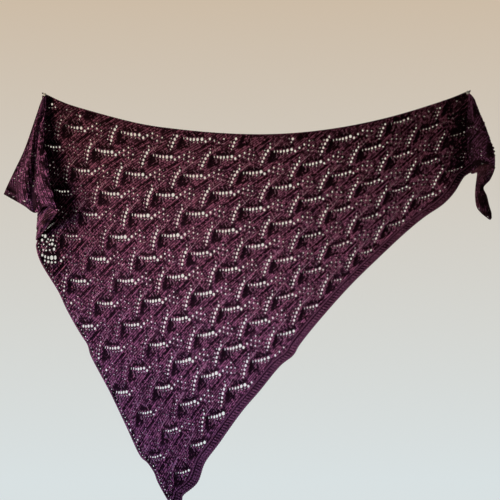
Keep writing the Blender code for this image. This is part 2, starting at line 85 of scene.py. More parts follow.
# Outlines as (wale, motif) pairs, each from its first corner to its last
TOP_EDGE = [(-1.09, 7.38), (-0.6, 7.54), (-0.12, 7.79), (1.07, 8.58), (2.1, 9.45), (3.66, 10.54),
            (5.23, 11.72), (6.75, 12.99), (7.27, 13.55)]
VALLEY_LINE = [(7.27, 13.55), (7.48, 13.29), (8.17, 12.5), (8.95, 11.81), (9.37, 11.5), (9.74, 11.24)]
BORDER_EDGE = [(9.58, -1.19), (9.56, -0.72), (9.53, -0.51), (9.74, 0.04), (9.66, 0.72), (9.74, 1.45),
               (9.78, 2.57), (9.83, 3.28), (9.81, 4.17), (9.9, 4.61), (9.81, 4.98), (9.71, 5.85),
               (9.64, 7.03), (9.69, 8.1), (9.8, 9.43), (9.94, 10.04), (9.89, 10.49), (9.73, 10.9),
               (9.68, 11.07), (9.74, 11.24)]
BOUND_OFF_EDGE = [(1.54, 3.27), (1.64, 3.06), (2.04, 2.77), (2.91, 2.44), (3.48, 2.14), (4.19, 1.83),
                  (4.57, 1.68), (4.9, 1.42), (5.91, 0.9), (6.98, 0.35), (7.76, -0.11), (8.07, -0.17),
                  (8.4, -0.33), (8.66, -0.56), (9.19, -0.93), (9.58, -1.19)]
FOLD_LINE = [(-1.09, 7.38), (-0.91, 7.17), (-0.26, 6.21), (0.52, 4.94), (0.94, 4.25), (1.28, 3.69),
             (1.54, 3.27)]
BORDER_WIDTH = 0.32
SEAM_LAP = 0.03  # wales of lace behind the border's inner edge
BORDER_FOOT_MOTIF = -0.98
BORDER_HEAD_MOTIF = 11.49

# Long soft folds that lift the cloth off the wall, millimetres
Fold = namedtuple("Fold", "name x0 z0 x1 z1 rise0 rise1 half_width")
FOLDS = [
    Fold("left edge off the wall", -10, -250, -5, -430, 10, 22, 75),
    Fold("swell beside the right valley", 975, -20, 990, -235, 5, 20, 60),
    Fold("border curling forward", 420, -920, 960, -300, 9, 7, 60),
    Fold("tip hanging free", 330, -1040, 300, -820, 16, 4, 90),
    Fold("upper wave", 150, -90, 600, -330, 3, 5, 70),
    Fold("middle wave", 60, -330, 470, -640, 4, 6, 80),
    Fold("right wave", 560, -110, 900, -190, 3, 7, 70),
]
BASE_STAND_OFF = 5.0
PATCH_OPENNESS = 0.46

# The lace's holes in one repeat, by stitch and row from its corner; half sizes in millimetres.
# The family is 0 for the long ladder, 1 for the steep ladder and 2 for the mesh.
Hole = namedtuple("Hole", "name stitch row half_width half_height sides family")
HOLES = [
    Hole("long ladder, narrow end", 0.3, 0.2, 1.0, 4.0, 6, 0),
    Hole("long ladder 2", 1.2, 1.9, 1.8, 4.3, 6, 0),
    Hole("long ladder 3", 2.2, 3.5, 2.4, 4.2, 8, 0),
    Hole("long ladder 4", 3.1, 5.2, 2.7, 4.4, 8, 0),
    Hole("long ladder 5", 3.9, 7.2, 3.1, 4.6, 8, 0),
    Hole("long ladder 6", 4.9, 9.6, 3.8, 4.9, 8, 0),
    Hole("long ladder 7", 6.7, 10.9, 3.0, 3.8, 8, 0),
    Hole("long ladder 8", 6.7, 14.0, 2.7, 3.5, 8, 0),
    Hole("steep ladder, faint head", -4.5, 3.0, 1.2, 2.6, 6, 1),
    Hole("steep ladder 1", -4.1, 0.3, 1.6, 2.0, 6, 1),
    Hole("steep ladder 2", -2.7, -0.9, 2.7, 3.5, 8, 1),
    Hole("steep ladder 3", -2.0, -2.9, 2.9, 3.8, 8, 1),
    Hole("steep ladder 4", -1.2, -5.1, 2.9, 3.8, 8, 1),
    Hole("steep ladder 5", -0.2, -7.1, 2.8, 3.7, 8, 1),
    Hole("steep ladder 6", 0.9, -8.8, 2.9, 3.6, 8, 1),
    Hole("steep ladder 7", 1.8, -10.5, 1.7, 2.0, 6, 1),
    Hole("beside it 3", -3.1, -4.4, 1.4, 1.7, 6, 1),
    Hole("beside it 4", -2.3, -6.7, 1.5, 1.8, 6, 1),
    Hole("beside it 5", -1.3, -8.6, 1.4, 1.7, 6, 1),
    Hole("beside it 6", -0.3, -10.5, 1.4, 1.7, 6, 1),
    Hole("under ladder 4", 4.1, 4.2, 1.2, 1.7, 6, 0),
    Hole("under ladder 5", 5.2, 6.3, 1.3, 1.8, 6, 0),
    Hole("under ladder 6", 6.0, 8.4, 1.3, 1.8, 6, 0),
    Hole("mesh, first wale", 7.0, 17.4, 2.3, 3.0, 6, 2),
    Hole("mesh, under it", 8.6, 15.9, 2.0, 2.6, 6, 2),
    Hole("mesh, second wale", 8.8, 19.5, 2.1, 2.5, 6, 2),
    Hole("mesh, over it", 7.1, 21.1, 2.0, 2.5, 6, 2),
    Hole("mesh, lowest", 10.6, 17.7, 1.9, 2.4, 6, 2),
    Hole("mesh, third wale", 10.5, 21.5, 1.9, 2.3, 6, 2),
    Hole("mesh, fourth wale", 8.3, 23.0, 1.3, 1.6, 6, 2),
    Hole("mesh, last", 12.1, 19.6, 1.3, 1.6, 6, 2),
    Hole("mesh, under the first", 10.4, 14.2, 1.2, 1.7, 6, 2),
]
# Where the cloth is tight, the holes of each family are smaller by these shares
Tight = namedtuple("Tight", "name x0 z0 x1 z1 reach long steep mesh")
TIGHTS = [
    Tight("bound-off edge", 60, -330, 330, -930, 85, 0.15, 0.50, 0.45),
    Tight("left fold", 20, -60, 60, -300, 65, 0.40, 0.50, 0.55),
    Tight("right side", 990, -110, 720, -410, 170, 0.28, 0.08, 0.25),
    Tight("right end of the top", 930, -60, 1010, -80, 110, 0.20, 0.24, 0.20),
    Tight("right valley", 1015, -40, 1015, -190, 32, 0.35, 0.50, 0.45),
    Tight("tip", 240, -860, 350, -1030, 120, 0.24, 0.40, 0.40),
]

# Rises and hollows along lines of each motif: from one stitch and row to another, height and radius in
# millimetres, and the shade painted on the yarn there: painted shade in the hollows, pockets and grooves and
# painted light on the ribs and welts
Relief = namedtuple("Relief", "name stitch0 row0 stitch1 row1 height radius shade")
RELIEFS = [
    Relief("rib", -1.8, -0.1, 1.9, -7.3, 1.4, 3.0, 0.42),
    Relief("pocket", 0.0, -0.9, 2.7, -5.5, -2.8, 4.6, -1.42),
    Relief("pocket's floor", 1.5, -1.0, 2.9, -1.9, -1.0, 6.5, -0.50),
    Relief("petal's edge, upper", 2.7, 1.9, 3.9, 0.9, -1.0, 1.6, -0.97),
    Relief("petal's edge, middle", 3.9, 0.9, 4.4, -1.1, -1.0, 1.6, -0.97),
    Relief("petal's edge, lower", 4.4, -1.1, 3.4, -5.9, -1.0, 1.8, -0.97),
    Relief("groove", 8.1, 0.7, 8.4, 11.8, -1.4, 1.7, -1.42),
    Relief("bank over the groove", 7.3, 2.0, 7.5, 11.2, 0.6, 1.6, 0.18),
    Relief("welt under the groove", 8.9, 2.7, 9.3, 13.0, 0.8, 1.9, 0.42),
    Relief("second groove", 10.0, 3.9, 10.4, 12.9, -0.5, 1.2, -0.60),
    Relief("shade over the ladder", -0.1, 2.7, 4.2, 11.3, -1.4, 2.8, -0.97),
    Relief("hollow over it", -0.8, 3.6, 2.9, 11.0, -0.6, 5.0, -0.33),
    Relief("hollow at its end", 3.4, 11.1, 3.5, 11.7, -0.8, 3.0, -0.60),
    Relief("stripe over its end", 4.5, 11.7, 4.5, 17.5, 0.8, 3.0, 0.3),
    Relief("hollow by the mesh", 8.9, 14.2, 9.5, 14.4, -0.8, 2.8, -0.78),
    Relief("hollow past the mesh", 12.0, 21.8, 11.0, 23.8, -0.5, 2.5, -0.40),
    Relief("strand between the ladders", -1.5, 12.1, 0.1, 8.9, -0.3, 3.0, -0.25),
]
# Yarns that float over each repeat, from one stitch and row to another: width in millimetres, and tone, which
# is high as painted light on these raised yarns
Float = namedtuple("Float", "name stitch0 row0 stitch1 row1 width tone")
FLOATS = [
    Float("crossing, along the wale", -1.8, -0.1, -2.2, 6.8, 1.3, 1.0),
    Float("crossing, across it", -4.3, 2.7, -1.5, 2.4, 1.1, 0.9),
    Float("crossing's end", -2.9, 7.3, -2.4, 10.6, 1.3, 0.8),
    Float("fan 1", 1.7, 0.6, 3.5, -0.1, 1.4, 0.62),
    Float("fan 2", 2.8, 2.5, 5.4, 1.6, 1.4, 0.6),
    Float("fan 3", 0.3, 6.9, 1.8, 7.0, 1.4, 0.6),
    Float("fan 4", 1.2, 9.0, 2.9, 9.2, 1.4, 0.6),
]
FLOATS_END = 930.0  # past it the cloth is stretched and no yarn floats
# The open strip at the left edge, under the flap: x, z, half width and half height of each hole
STRIP_HOLES = [
    (-4.2, -344.0, 2.4, 2.9), (2.2, -346.2, 3.2, 4.9), (-5.4, -355.5, 3.6, 4.5), (9.1, -353.0, 2.2, 2.7),
    (5.9, -359.2, 2.4, 2.7), (15.2, -355.5, 2.6, 2.6), (21.1, -355.5, 2.4, 3.3), (21.3, -345.0, 2.8, 2.7),
    (19.1, -365.3, 3.3, 3.9), (12.7, -366.0, 2.2, 2.5), (23.5, -377.5, 2.8, 4.5), (26.5, -369.0, 2.1, 2.8),
    (4.4, -380.7, 2.7, 2.7), (-2.5, -379.3, 2.4, 2.7), (-1.7, -366.0, 2.2, 2.7), (5.4, -371.4, 2.0, 2.2),
    (13.2, -379.8, 2.5, 2.7), (-4.7, -392.2, 2.9, 4.2), (2.0, -395.9, 3.0, 4.7), (9.8, -398.4, 3.2, 4.7),
    (18.1, -398.6, 4.2, 5.7), (26.7, -398.4, 3.3, 5.9), (1.5, -405.7, 2.5, 2.8), (9.6, -408.7, 2.7, 3.6),
    (18.1, -410.1, 3.1, 3.7), (26.7, -409.6, 2.7, 2.8), (205.8, -806.0, 2.1, 3.0), (209.5, -820.8, 1.7, 3.6),
    (2.5, -332.0, 1.1, 1.0), (5.3, -329.4, 1.1, 1.0), (8.1, -326.7, 1.1, 1.0), (10.9, -324.1, 1.1, 1.0),
    (13.6, -321.4, 1.1, 1.0), (16.4, -318.8, 1.1, 1.0), (19.2, -316.1, 1.1, 1.0), (22.0, -313.5, 1.1, 1.0),
]
# Painted light and shade: places where the yarn of one piece is painted darker as shade in its pleats,
# creases, hollows and valleys, in the flaps' shadow, under the lamps' falloff and where it hangs dark against
# the light, or painted lighter as light on its ridges and edges, and how far that reaches
Shade = namedtuple("Shade", "name piece x0 z0 x1 z1 reach amount")
PAINTED_LIGHTS = [
    Shade("first pleat, upper", "left_corner_flap", -12, -49, -29, -147, 3.5, -0.55),
    Shade("first pleat, lower", "left_corner_flap", -29, -147, -44, -245, 3.5, -0.65),
    Shade("second pleat", "left_corner_flap", -7, -135, -29, -233, 3.0, -0.45),
    Shade("third pleat", "left_corner_flap", 4, -120, 6, -225, 2.5, -0.30),
    Shade("roll over the hem", "left_corner_flap", -56, -258, 12, -267, 4.0, 0.25),
    Shade("crease under the roll", "left_corner_flap", -20, -266, 2, -268, 3.0, -0.70),
    Shade("crease on the lobe", "left_turned_layer", -20, -267, 6, -270, 3.5, -0.50),
    Shade("lobe's edge, upper", "left_turned_layer", 34, -287, 10, -313, 3.0, 0.45),
    Shade("lobe's edge, lower", "left_turned_layer", 10, -313, -17, -355, 3.0, 0.35),
    Shade("hollow over the tail", "right_corner_flap", 1056, -166, 1078, -169, 6.5, -1.1),
    Shade("lit ridge over it", "right_corner_flap", 1053, -153, 1076, -156, 4.0, 0.30),
    Shade("hollow in the tail's head", "corner_tail", 1056, -168, 1076, -172, 6.0, -0.9),
    Shade("tail's turned side", "corner_tail", 1079, -233, 1086, -294, 8.0, -0.50),
    Shade("open strip, upper", "main_lace", 2, -352, 18, -362, 22.0, -0.75),
    Shade("open strip, lower", "main_lace", 2, -396, 24, -402, 22.0, -0.75),
    Shade("valley's shadow", "main_lace", 1012, -60, 1014, -190, 24.0, -0.45),
    Shade("far end of the top", "main_lace", 650, -70, 960, -95, 90.0, -0.06),
    Shade("beside the flap", "main_lace", 40, -110, 70, -340, 45.0, -0.06),
    Shade("border's dark end", "border", 985, -205, 1035, -190, 26.0, -0.25),
    Shade("valley's lace side", "main_lace", 1024, -12, 1031, -135, 13.0, -0.45),
    Shade("valley's flap side", "right_corner_flap", 1030, -40, 1040, -150, 8.0, -0.35),
]

# The left corner, one section a row; down is the share of the fold line
LeftSection = namedtuple(
    "LeftSection", "down ridge_x ridge_z ridge_off selvage_x selvage_z selvage_off pleat")
LEFT_FLAP = [
    LeftSection(0.02, 3, -3, 10, -1.5, -3, 12, 0.1),
    LeftSection(0.10, 4, -15, 12, -7, -14, 17, 0.3),
    LeftSection(0.26, 1, -64, 20, -22, -59, 22, 2),
    LeftSection(0.46, 3, -130, 31, -47, -132, 26, 5),
    LeftSection(0.64, 11, -188, 41, -69, -180, 29, 7),
    LeftSection(0.80, 21, -240, 50, -87, -218, 32, 8),
    LeftSection(0.92, 34, -287, 56, -98, -244, 34, 6),
]
TURNED_HEM_END = (-13, -30, -350)
PLEATS = [0.0, 0.5, -1.0, 0.9, -0.7, 0.0]
HEM_DROP = [0, 6, -20, -12, -6, 0]
HEM_GROOVE = 3.5
LOBE_SWELL = (-6.0, -10.0, 0.0)
FOLD_RADIUS = 2.6
FOLD_AT_HEAD, FOLD_GROWTH = 0.65, 1.2  # the left fold's radius as a share of it, and its growth downwards
LOBE_FROM, LOBE_RUN = 0.78, 0.12  # where the lobe starts to swell, and over what share of the fold
GROOVE_CLOSES = 1.35
FIRST_BEND = [(-0.8, 0.1), (-1.3, 1.0), (-0.7, 2.0)]
SECOND_BEND = [(0.0, 0.8), (-0.9, 1.9)]

# The right corner
RightSection = namedtuple("RightSection", "down outer_x outer_z outer_off back_x back_z back_off swell")
RIGHT_FLAP = [
    RightSection(0.02, 1039, 2, 11, 1038.5, 1, 8, 0.2),
    RightSection(0.10, 1048, -7, 17, 1045, -9, 8, 1),
    RightSection(0.28, 1062, -45, 29, 1051, -48, 7, 4),
    RightSection(0.48, 1078, -86, 41, 1062, -90, 8, 6),
    RightSection(0.68, 1089, -122, 48, 1069, -129, 9, 7),
    RightSection(0.86, 1097, -155, 52, 1075, -163, 10, 7),
    RightSection(1.00, 1097, -177, 50, 1079, -190, 12, 4),
]
EDGE_LOOPS = [(1070.5, -70.0), (1088.5, -123.7), (1092.3, -131.5), (1094.0, -140.0), (1094.5, -149.5)]
EDGE_LOOP_SIZE = (4.8, 3.2, 3.7)
CREASE_RISE = 14.0
CREASE_FROM = 0.86
VALLEY_CURVE = [(0.28, 0.2, 0.5), (0.55, -1.0, 1.0)]
HIDDEN_BULGE = 2.0
VALLEY_RUN = 1.6
VALLEY_GAP = -0.6
TAIL_LEAD = 4.0
TailSection = namedtuple(
    "TailSection", "left_x left_z left_off crest_x crest_z crest_off right_x right_z right_off")
CORNER_TAIL = [
    TailSection(1056, -190, 18, 1075, -186, 46, 1096, -189, 46),
    TailSection(1055, -208, 26, 1071, -207, 42, 1087, -209, 38),
    TailSection(1052, -226, 33, 1062, -227, 37, 1072, -227, 30),
    TailSection(1051, -250, 36, 1065, -248, 43, 1080, -247, 26),
    TailSection(1055, -276, 38, 1069, -272, 45, 1086, -271, 24),
    TailSection(1067, -291, 36, 1079, -289, 39, 1091, -288, 26),
    TailSection(1085, -305, 33, 1088, -306, 32, 1092, -302, 30),
]

# A stitch's legs: each end's place, in stitches and rows from the stitch's middle, and its lift over the
# sheet in millimetres, which varies a little
FOOT_SPREAD, FOOT_DROP, FOOT_LIFT = 0.10, 0.72, 0.05
HEAD_SPREAD, HEAD_RISE, HEAD_LIFT = 0.28, 0.62, 0.45
LIFT_VARIES = 0.12
# A stitch's tone: its mean, how much the left leg, which faces the lamps, gains as painted light and the
# right leg loses as painted shade, and how far whole stitches and single legs vary
STITCH_TONE = 0.46
LEG_PAINTED_LIGHT = 0.20
STITCH_TONE_SPREAD = 0.39
LEG_TONE_SPREAD = 0.17
# Painted light and shade on a strand at its foot, head, side, top, other side and underneath, over its own
# tone: lighter on top, darker at the sides and underneath
STRAND_PAINTED_LIGHT = (-0.28, -0.05, -0.34, 0.24, -0.34, -0.5)
# Beside a hole: a leg is left out where its middle has less than this reach of the rim with the first
# spare, and its ends are pushed out of the rim with the second, millimetres
LEG_REACH = 0.75
LEG_SPARE, END_SPARE = 0.2, 0.7
UV_STITCHES = 10.0  # stitches and rows to one unit of the sheet's UVs
EDGE_FADE = 6.0  # millimetres over which the relief fades out at an edge

# The sheet's holes: millimetres clear of a pin and of a single hole, the shares between which a hole's
# size varies, the least share of it that tight places leave, and the radius of the hole at a needle
CLEAR_OF_PIN = 26.0
CLEAR_OF_SINGLE = 4.5
HOLE_VARIES = (0.82, 1.08)
LEAST_OPEN = 0.34
NEEDLE_HOLE = 0.95
# Points between them: steps in stitches and rows, and millimetres clear of a rim, the edge and a pin
GRID_STITCHES, GRID_ROWS = 1.5, 2.2
GRID_RIM, GRID_EDGE, GRID_PIN = 0.9, 1.5, 3.0
# Eyelets along the bound-off edge, millimetres: how far in, size and how much it varies
EYELET_INSET = (5.4, 7.6)
EYELET_SIZE = (1.15, 1.55)
EYELET_VARIES = (0.75, 1.15)
EYELETS_FROM_STRIP = 8.0
# Floating yarns, millimetres: lift, bow at each quarter of the length, height and how far from an edge;
# the overlap of their lengths is a share, and their ends vary in stitches and rows
FLOAT_LIFT = 2.0
FLOAT_BOW = (0.0, 0.5, 0.7, 0.5, 0.0)
FLOAT_HEIGHT = 1.2
FLOAT_EDGE = 4.0
FLOAT_LAP = 0.12
FLOAT_VARIES = 0.25
FLOAT_TONE_SPREAD = 0.1

# The main lace: the ranges of u and v that hold it, a place inside it, and how far in from an edge and
# off the cloth's middle its edge chains lie
LACE_REACH = ((-20, 152), (-12, 395))
LACE_MIDDLE = np.array((450.0, -330.0))
EDGE_INSET = 1.4
EDGE_LIFT = 0.6
# A chain's link: its half length in pitches, how far its strands start and end apart in widths, how wide
# a strand is in widths and how high in millimetres
LINK_HALF = 0.62
LINK_START, LINK_END = 0.1, 0.42
LINK_STRAND = 0.7
CHAIN_HEIGHT = 2.0

# Across the border, in shares of its width from the seam: where the ribs begin and end and how they fade
RIBS_FROM, RIBS_FADE_IN = 0.34, 0.08
RIBS_TO, RIBS_FADE_OUT = 0.86, 0.06
# Welts and trenches along it: place, half width and share of the full height
WELTS = [(0.12, 0.07, 1.0), (0.94, 0.07, 0.8)]
TRENCHES = [(0.27, 0.05, 1.0), (0.0, 0.05, 0.8)]
# Full heights and half the sheet's thickness, millimetres
RIB_RISE, WELT_RISE, TRENCH_DROP = 0.9, 1.3, 1.4
BORDER_HALF = 0.9
# The sheet's tone: its mean, kept low as painted shade between the ribs, the painted light that a rib and a
# welt add, and the painted shade that a trench takes off
BORDER_TONE, RIB_PAINTED_LIGHT, WELT_PAINTED_LIGHT, TRENCH_PAINTED_SHADE = 0.30, 0.34, 0.2, 0.5
BORDER_TONE_SPREAD = 0.08
# A rib's yarn: the shares of the width that its two lengths cross and how far they vary, their slant in
# pitches, lift and how much it varies, width and height in millimetres, and tone
RIB_LENGTHS = [(0.34, 0.60), (0.54, 0.84)]
RIB_VARIES = 0.02
RIB_SLANT = 0.25
RIB_LIFT, RIB_LIFT_SPREAD = 1.9, 0.15
RIB_WIDTH, RIB_HEIGHT = 4.4, 2.4
RIB_TONE, RIB_TONE_SPREAD = 0.62, 0.2
# Chains on the border: name, share of its width, tone and width
BORDER_CHAINS = [("border_seam_welt", 0.15, 0.72, 3.4), ("border_edge_chain", 0.94, 0.62, 4.0)]
BORDER_CHAIN_LIFT = 1.8
BORDER_CHAIN_PITCH = 6.0

PINS = {"left": (0.0, 0.0), "right": (1035.1, 5.4)}
LEFT_PIN_PIXEL = (45, 95)  # right and down in the picture
FLOOR_SIZE = 6.0
FLOOR_PLACE = (0.5, -1.0, -1.45)
SKY_BLEND = (-0.08, 0.09)  # heights of a direction between which the surround changes colour
SKY_BEHIND = 0.35  # a direction's depth from which the surround has its full light
# Soft lamps at the left: place, the spot on the wall that each is turned to, size and beam in degrees
Lamp = namedtuple("Lamp", "name place aim size beam")
LAMPS = [
    Lamp("window", (-0.750, -0.953, -0.333), (0.533, -0.810), 0.5, 44.1),
    Lamp("lamp", (-0.750, -0.673, -0.073), (0.457, -0.379), 0.5, 44.1),
]


# Curves and surfaces
def thin_plate(places, values):
    """The smoothest bending of the grid that takes each place to its value."""
    places = np.array(places, float)
    count = len(places)

    def kernel(points):
        reach = np.linalg.norm(points[:, None] - places[None], axis=2)
        return reach**2 * np.log(np.maximum(reach, 1e-9))

    flat = np.column_stack([np.ones(count), places])
    system = np.block([[kernel(places), flat], [flat.T, np.zeros((3, 3))]])
    weights = np.linalg.solve(system, np.vstack([values, np.zeros((3, 2))]))

    def bend(points):
        points = np.atleast_2d(np.array(points, float))
        planes = np.column_stack([np.ones(len(points)), points])
        return kernel(points) @ weights[:count] + planes @ weights[count:]

    return bend


hang = thin_plate([(wale, motif) for wale, row in HANG.items() for motif in row],
                  [spot for row in HANG.values() for spot in row.values()])


unhang = thin_plate([spot for row in HANG.values() for spot in row.values()],
                    [(wale, motif) for wale, row in HANG.items() for motif in row])


def to_place(knit):
    """(wale, motif) of (u, v)."""
    knit = np.atleast_2d(knit)
    return np.column_stack([knit[:, 0] / STITCHES, knit[:, 1] / ROWS - knit[:, 0] / (2 * STITCHES)])


def to_knit(places):
    """(u, v) of (wale, motif)."""
    places = np.atleast_2d(places)
    return np.column_stack([places[:, 0] * STITCHES, (places[:, 1] + places[:, 0] / 2) * ROWS])


def smooth_line(points, steps):
    """A Catmull-Rom curve through the points, cut into equal steps along its length."""
    points = np.array(points, float)
    ends = np.vstack([2 * points[0] - points[1], points, 2 * points[-1] - points[-2]])
    fine = []
    for i in range(1, len(ends) - 2):
        before, start, stop, after = ends[i - 1 : i + 3]
        for t in np.arange(0, 1, 0.1):
            bend = 2 * before - 5 * start + 4 * stop - after
            twist = 3 * start - before - 3 * stop + after
            fine.append(0.5 * (2 * start + (stop - before) * t + bend * t**2 + twist * t**3))
    fine.append(points[-1])
    return even_steps(np.array(fine), steps)


def even_steps(line, steps, values=None):
    """A line cut into equal steps along its length, or values along it read at those places."""
    lengths = np.r_[0, np.cumsum(np.linalg.norm(np.diff(line, axis=0), axis=1))]
    wanted = np.linspace(0, lengths[-1], steps + 1)
    columns = (line if values is None else values).T
    return np.column_stack([np.interp(wanted, lengths, column) for column in columns])


def catmull(rows, at, knots=None):
    """Rows of numbers read between at places on their knots, which count up from 0."""
    rows = np.array(rows, float)
    knots = np.arange(len(rows), dtype=float) if knots is None else np.array(knots, float)
    spans = np.diff(knots)
    slopes = np.diff(rows, axis=0) / spans.reshape(-1, *[1] * (rows.ndim - 1))
    tangents = np.concatenate([slopes[:1], slopes, slopes[-1:]])
    tangents = 0.5 * (tangents[:-1] + tangents[1:])
    found = []
    for place in at:
        i = min(max(int(np.searchsorted(knots, place, "right")) - 1, 0), len(rows) - 2)
        t = (place - knots[i]) / spans[i]
        rise = rows[i + 1] - rows[i]
        lean = tangents[i] * spans[i] - rise
        tilt = rise - tangents[i + 1] * spans[i]
        found.append(rows[i] + rise * t + t * (1 - t) * ((1 - t) * lean + t * tilt))
    return np.array(found)


def segment_distance(spots, start, stop):
    """How far along a segment each spot is, as a share, and how far from it."""
    start = np.array(start, float)
    run = np.array(stop, float) - start
    along = np.clip((spots - start) @ run / max(run @ run, 1e-12), 0, 1)
    return along, np.linalg.norm(spots - start - along[:, None] * run, axis=1)


def stand_off(spots):
    """How far the middle of the cloth is from the wall at each (x, z)."""
    spots = np.atleast_2d(spots)
    off = np.full(len(spots), BASE_STAND_OFF)
    for fold in FOLDS:
        along, reach = segment_distance(spots, (fold.x0, fold.z0), (fold.x1, fold.z1))
        rise = fold.rise0 + (fold.rise1 - fold.rise0) * along
        off += rise * np.exp(-((reach / fold.half_width) ** 2) * 1.5)
    return off


def unit(rows):
    return rows / np.maximum(np.linalg.norm(rows, axis=-1, keepdims=True), 1e-12)


# The lace
def openness(spots):
    """The share of its full size that a hole of each family keeps at each (x, z)."""
    kept = np.ones((len(spots), 3))
    for tight in TIGHTS:
        away = segment_distance(spots, (tight.x0, tight.z0), (tight.x1, tight.z1))[1]
        kept -= np.exp(-((away / tight.reach) ** 2))[:, None] * (tight.long, tight.steep, tight.mesh)
    return np.maximum(kept, LEAST_OPEN)


def motif_images(knit):
    """(stitch, row) of each (u, v) from the corner of every motif near it."""
    wale = np.floor(knit[:, 0] / STITCHES)
    for step_wale in (-1, 0, 1):
        a = wale + step_wale
        stitch = knit[:, 0] - STITCHES * a
        motif = np.floor((knit[:, 1] - HALF_DROP * a) / ROWS)
        for step_motif in (-1, 0, 1):
            yield stitch, knit[:, 1] - HALF_DROP * a - ROWS * (motif + step_motif)


def relief(knit):
    """How far the lace rises over its mean level, in millimetres, and the painted shade or painted light that
    goes with it, at each (u, v).
    """
    height = np.zeros(len(knit))
    shade = np.zeros(len(knit))
    for stitch, row in motif_images(knit):
        for line in RELIEFS:
            spots = np.column_stack([stitch, row]) @ KNIT_TO_WALL.T
            start = KNIT_TO_WALL @ (line.stitch0, line.row0)
            away = segment_distance(spots, start, KNIT_TO_WALL @ (line.stitch1, line.row1))[1]
            share = np.exp(-((away / line.radius) ** 2))
            height += line.height * share
            shade += line.shade * share
    return height, shade


def painted_light_at(piece, points):
    """The painted light and painted shade on a piece's yarn at world points, in millimetres."""
    total = np.zeros(len(points))
    for shade in PAINTED_LIGHTS:
        if piece.startswith(shade.piece):
            away = segment_distance(points[:, (0, 2)], (shade.x0, shade.z0), (shade.x1, shade.z1))[1]
            total += shade.amount * np.exp(-((away / shade.reach) ** 2))
    return total


def hole_push(knit, spare, kept):
    """The nearest hole's reach, under 1 inside its rim, and the way out of it on the wall."""
    nearest = np.full(len(knit), 9.0)
    push = np.zeros((len(knit), 2))
    for stitch, row in motif_images(knit):
        for hole in HOLES:
            steps = np.column_stack([stitch - hole.stitch, row - hole.row]) @ KNIT_TO_WALL.T
            half = kept[:, hole.family, None] * (hole.half_width, hole.half_height) + spare
            reach = np.linalg.norm(steps / half, axis=1)
            closer = reach < nearest
            nearest[closer] = reach[closer]
            out = steps * (1 / np.maximum(reach, 0.2) - 1)[:, None]
            push[closer] = out[closer]
    return nearest, push


def inside(outline, spots):
    """Which spots lie in a closed outline, by counting crossings."""
    held = np.zeros(len(spots), bool)
    for (x0, z0), (x1, z1) in zip(outline, np.roll(outline, -1, axis=0)):
        crosses = (z0 > spots[:, 1]) != (z1 > spots[:, 1])
        rise = z1 - z0 if z1 != z0 else 1e-12
        held ^= crosses & (spots[:, 0] < x0 + (spots[:, 1] - z0) * (x1 - x0) / rise)
    return held


def line_distance(line, spots):
    """The shortest distance from each spot to an open line."""
    best = np.full(len(spots), 1e9)
    for start, stop in zip(line[:-1], line[1:]):
        best = np.minimum(best, segment_distance(spots, start, stop)[1])
    return best


def edge_distance(outline, spots):
    """The shortest distance from each spot to a closed outline."""
    return line_distance(np.vstack([outline, outline[:1]]), spots)


class WallCloth:
    """The large triangle: a flat spot is (x, z) on the wall."""

    def flat(self, knit):
        return hang(to_place(knit))

    def kept(self, knit):
        return openness(self.flat(knit))

    def turned(self, steps):
        """Steps on the wall as steps on the flat cloth."""
        return steps

    def held(self, spots):
        """Flat spots, kept on the cloth."""
        return spots

    def world(self, spots, lift):
        return np.column_stack([spots[:, 0], -(stand_off(spots) + lift), spots[:, 1]])

    def normal(self, spots):
        ahead = stand_off(spots + (1.0, 0.0)) - stand_off(spots)
        above = stand_off(spots + (0.0, 1.0)) - stand_off(spots)
        return unit(np.column_stack([-ahead, -np.ones(len(spots)), -above]))


class PatchCloth:
    """A folded stretch: a flat spot is its millimetres across and down a grid of sections."""

    def __init__(self, grid, knit_corner, turn_degrees, front):
        self.grid = grid
        steps = np.linalg.norm(np.diff(grid, axis=1), axis=2).mean(axis=0)
        self.across = np.r_[0, np.cumsum(steps)]
        steps = np.linalg.norm(np.diff(grid, axis=0), axis=2).mean(axis=1)
        self.down = np.r_[0, np.cumsum(steps)]
        self.front = front
        self.corner = np.array(knit_corner, float)
        turn = math.radians(turn_degrees)
        self.turn = np.array([[math.cos(turn), -math.sin(turn)], [math.sin(turn), math.cos(turn)]])

    def flat(self, knit):
        return (np.atleast_2d(knit) - self.corner) @ KNIT_TO_WALL.T @ self.turn.T * (1, -1)

    def knit(self, spots):
        return (spots * (1, -1)) @ self.turn @ WALL_TO_KNIT.T + self.corner

    def kept(self, knit):
        return np.full((len(knit), 3), PATCH_OPENNESS)

    def turned(self, steps):
        return steps @ self.turn.T * (1, -1)

    def held(self, spots):
        return np.clip(spots, 0.3, (self.across[-1] - 0.3, self.down[-1] - 0.3))

    def outline(self, step):
        wide, tall = self.across[-1], self.down[-1]
        corners = np.array([(0, 0), (wide, 0), (wide, tall), (0, tall), (0, 0)], float)
        return np.vstack([even_steps(corners[i : i + 2], max(2, int(length / step)))[:-1]
                          for i, length in enumerate((wide, tall, wide, tall))])

    def at(self, spots):
        columns = np.interp(spots[:, 0], self.across, np.arange(len(self.across)))
        rows = np.interp(spots[:, 1], self.down, np.arange(len(self.down)))
        i = np.minimum(rows.astype(int), len(self.down) - 2)
        j = np.minimum(columns.astype(int), len(self.across) - 2)
        s = (columns - j)[:, None]
        t = (rows - i)[:, None]
        above = self.grid[i, j] * (1 - s) + self.grid[i, j + 1] * s
        below = self.grid[i + 1, j] * (1 - s) + self.grid[i + 1, j + 1] * s
        return above * (1 - t) + below * t

    def normal(self, spots):
        held = np.clip(spots, (1.0, 1.0), (self.across[-1] - 1.0, self.down[-1] - 1.0))
        right = self.at(held + (1.0, 0.0)) - self.at(held - (1.0, 0.0))
        down = self.at(held + (0.0, 1.0)) - self.at(held - (0.0, 1.0))
        return unit(np.cross(right, down)) * self.front

    def world(self, spots, lift):
        return self.at(spots) + self.normal(spots) * np.asarray(lift)[:, None]


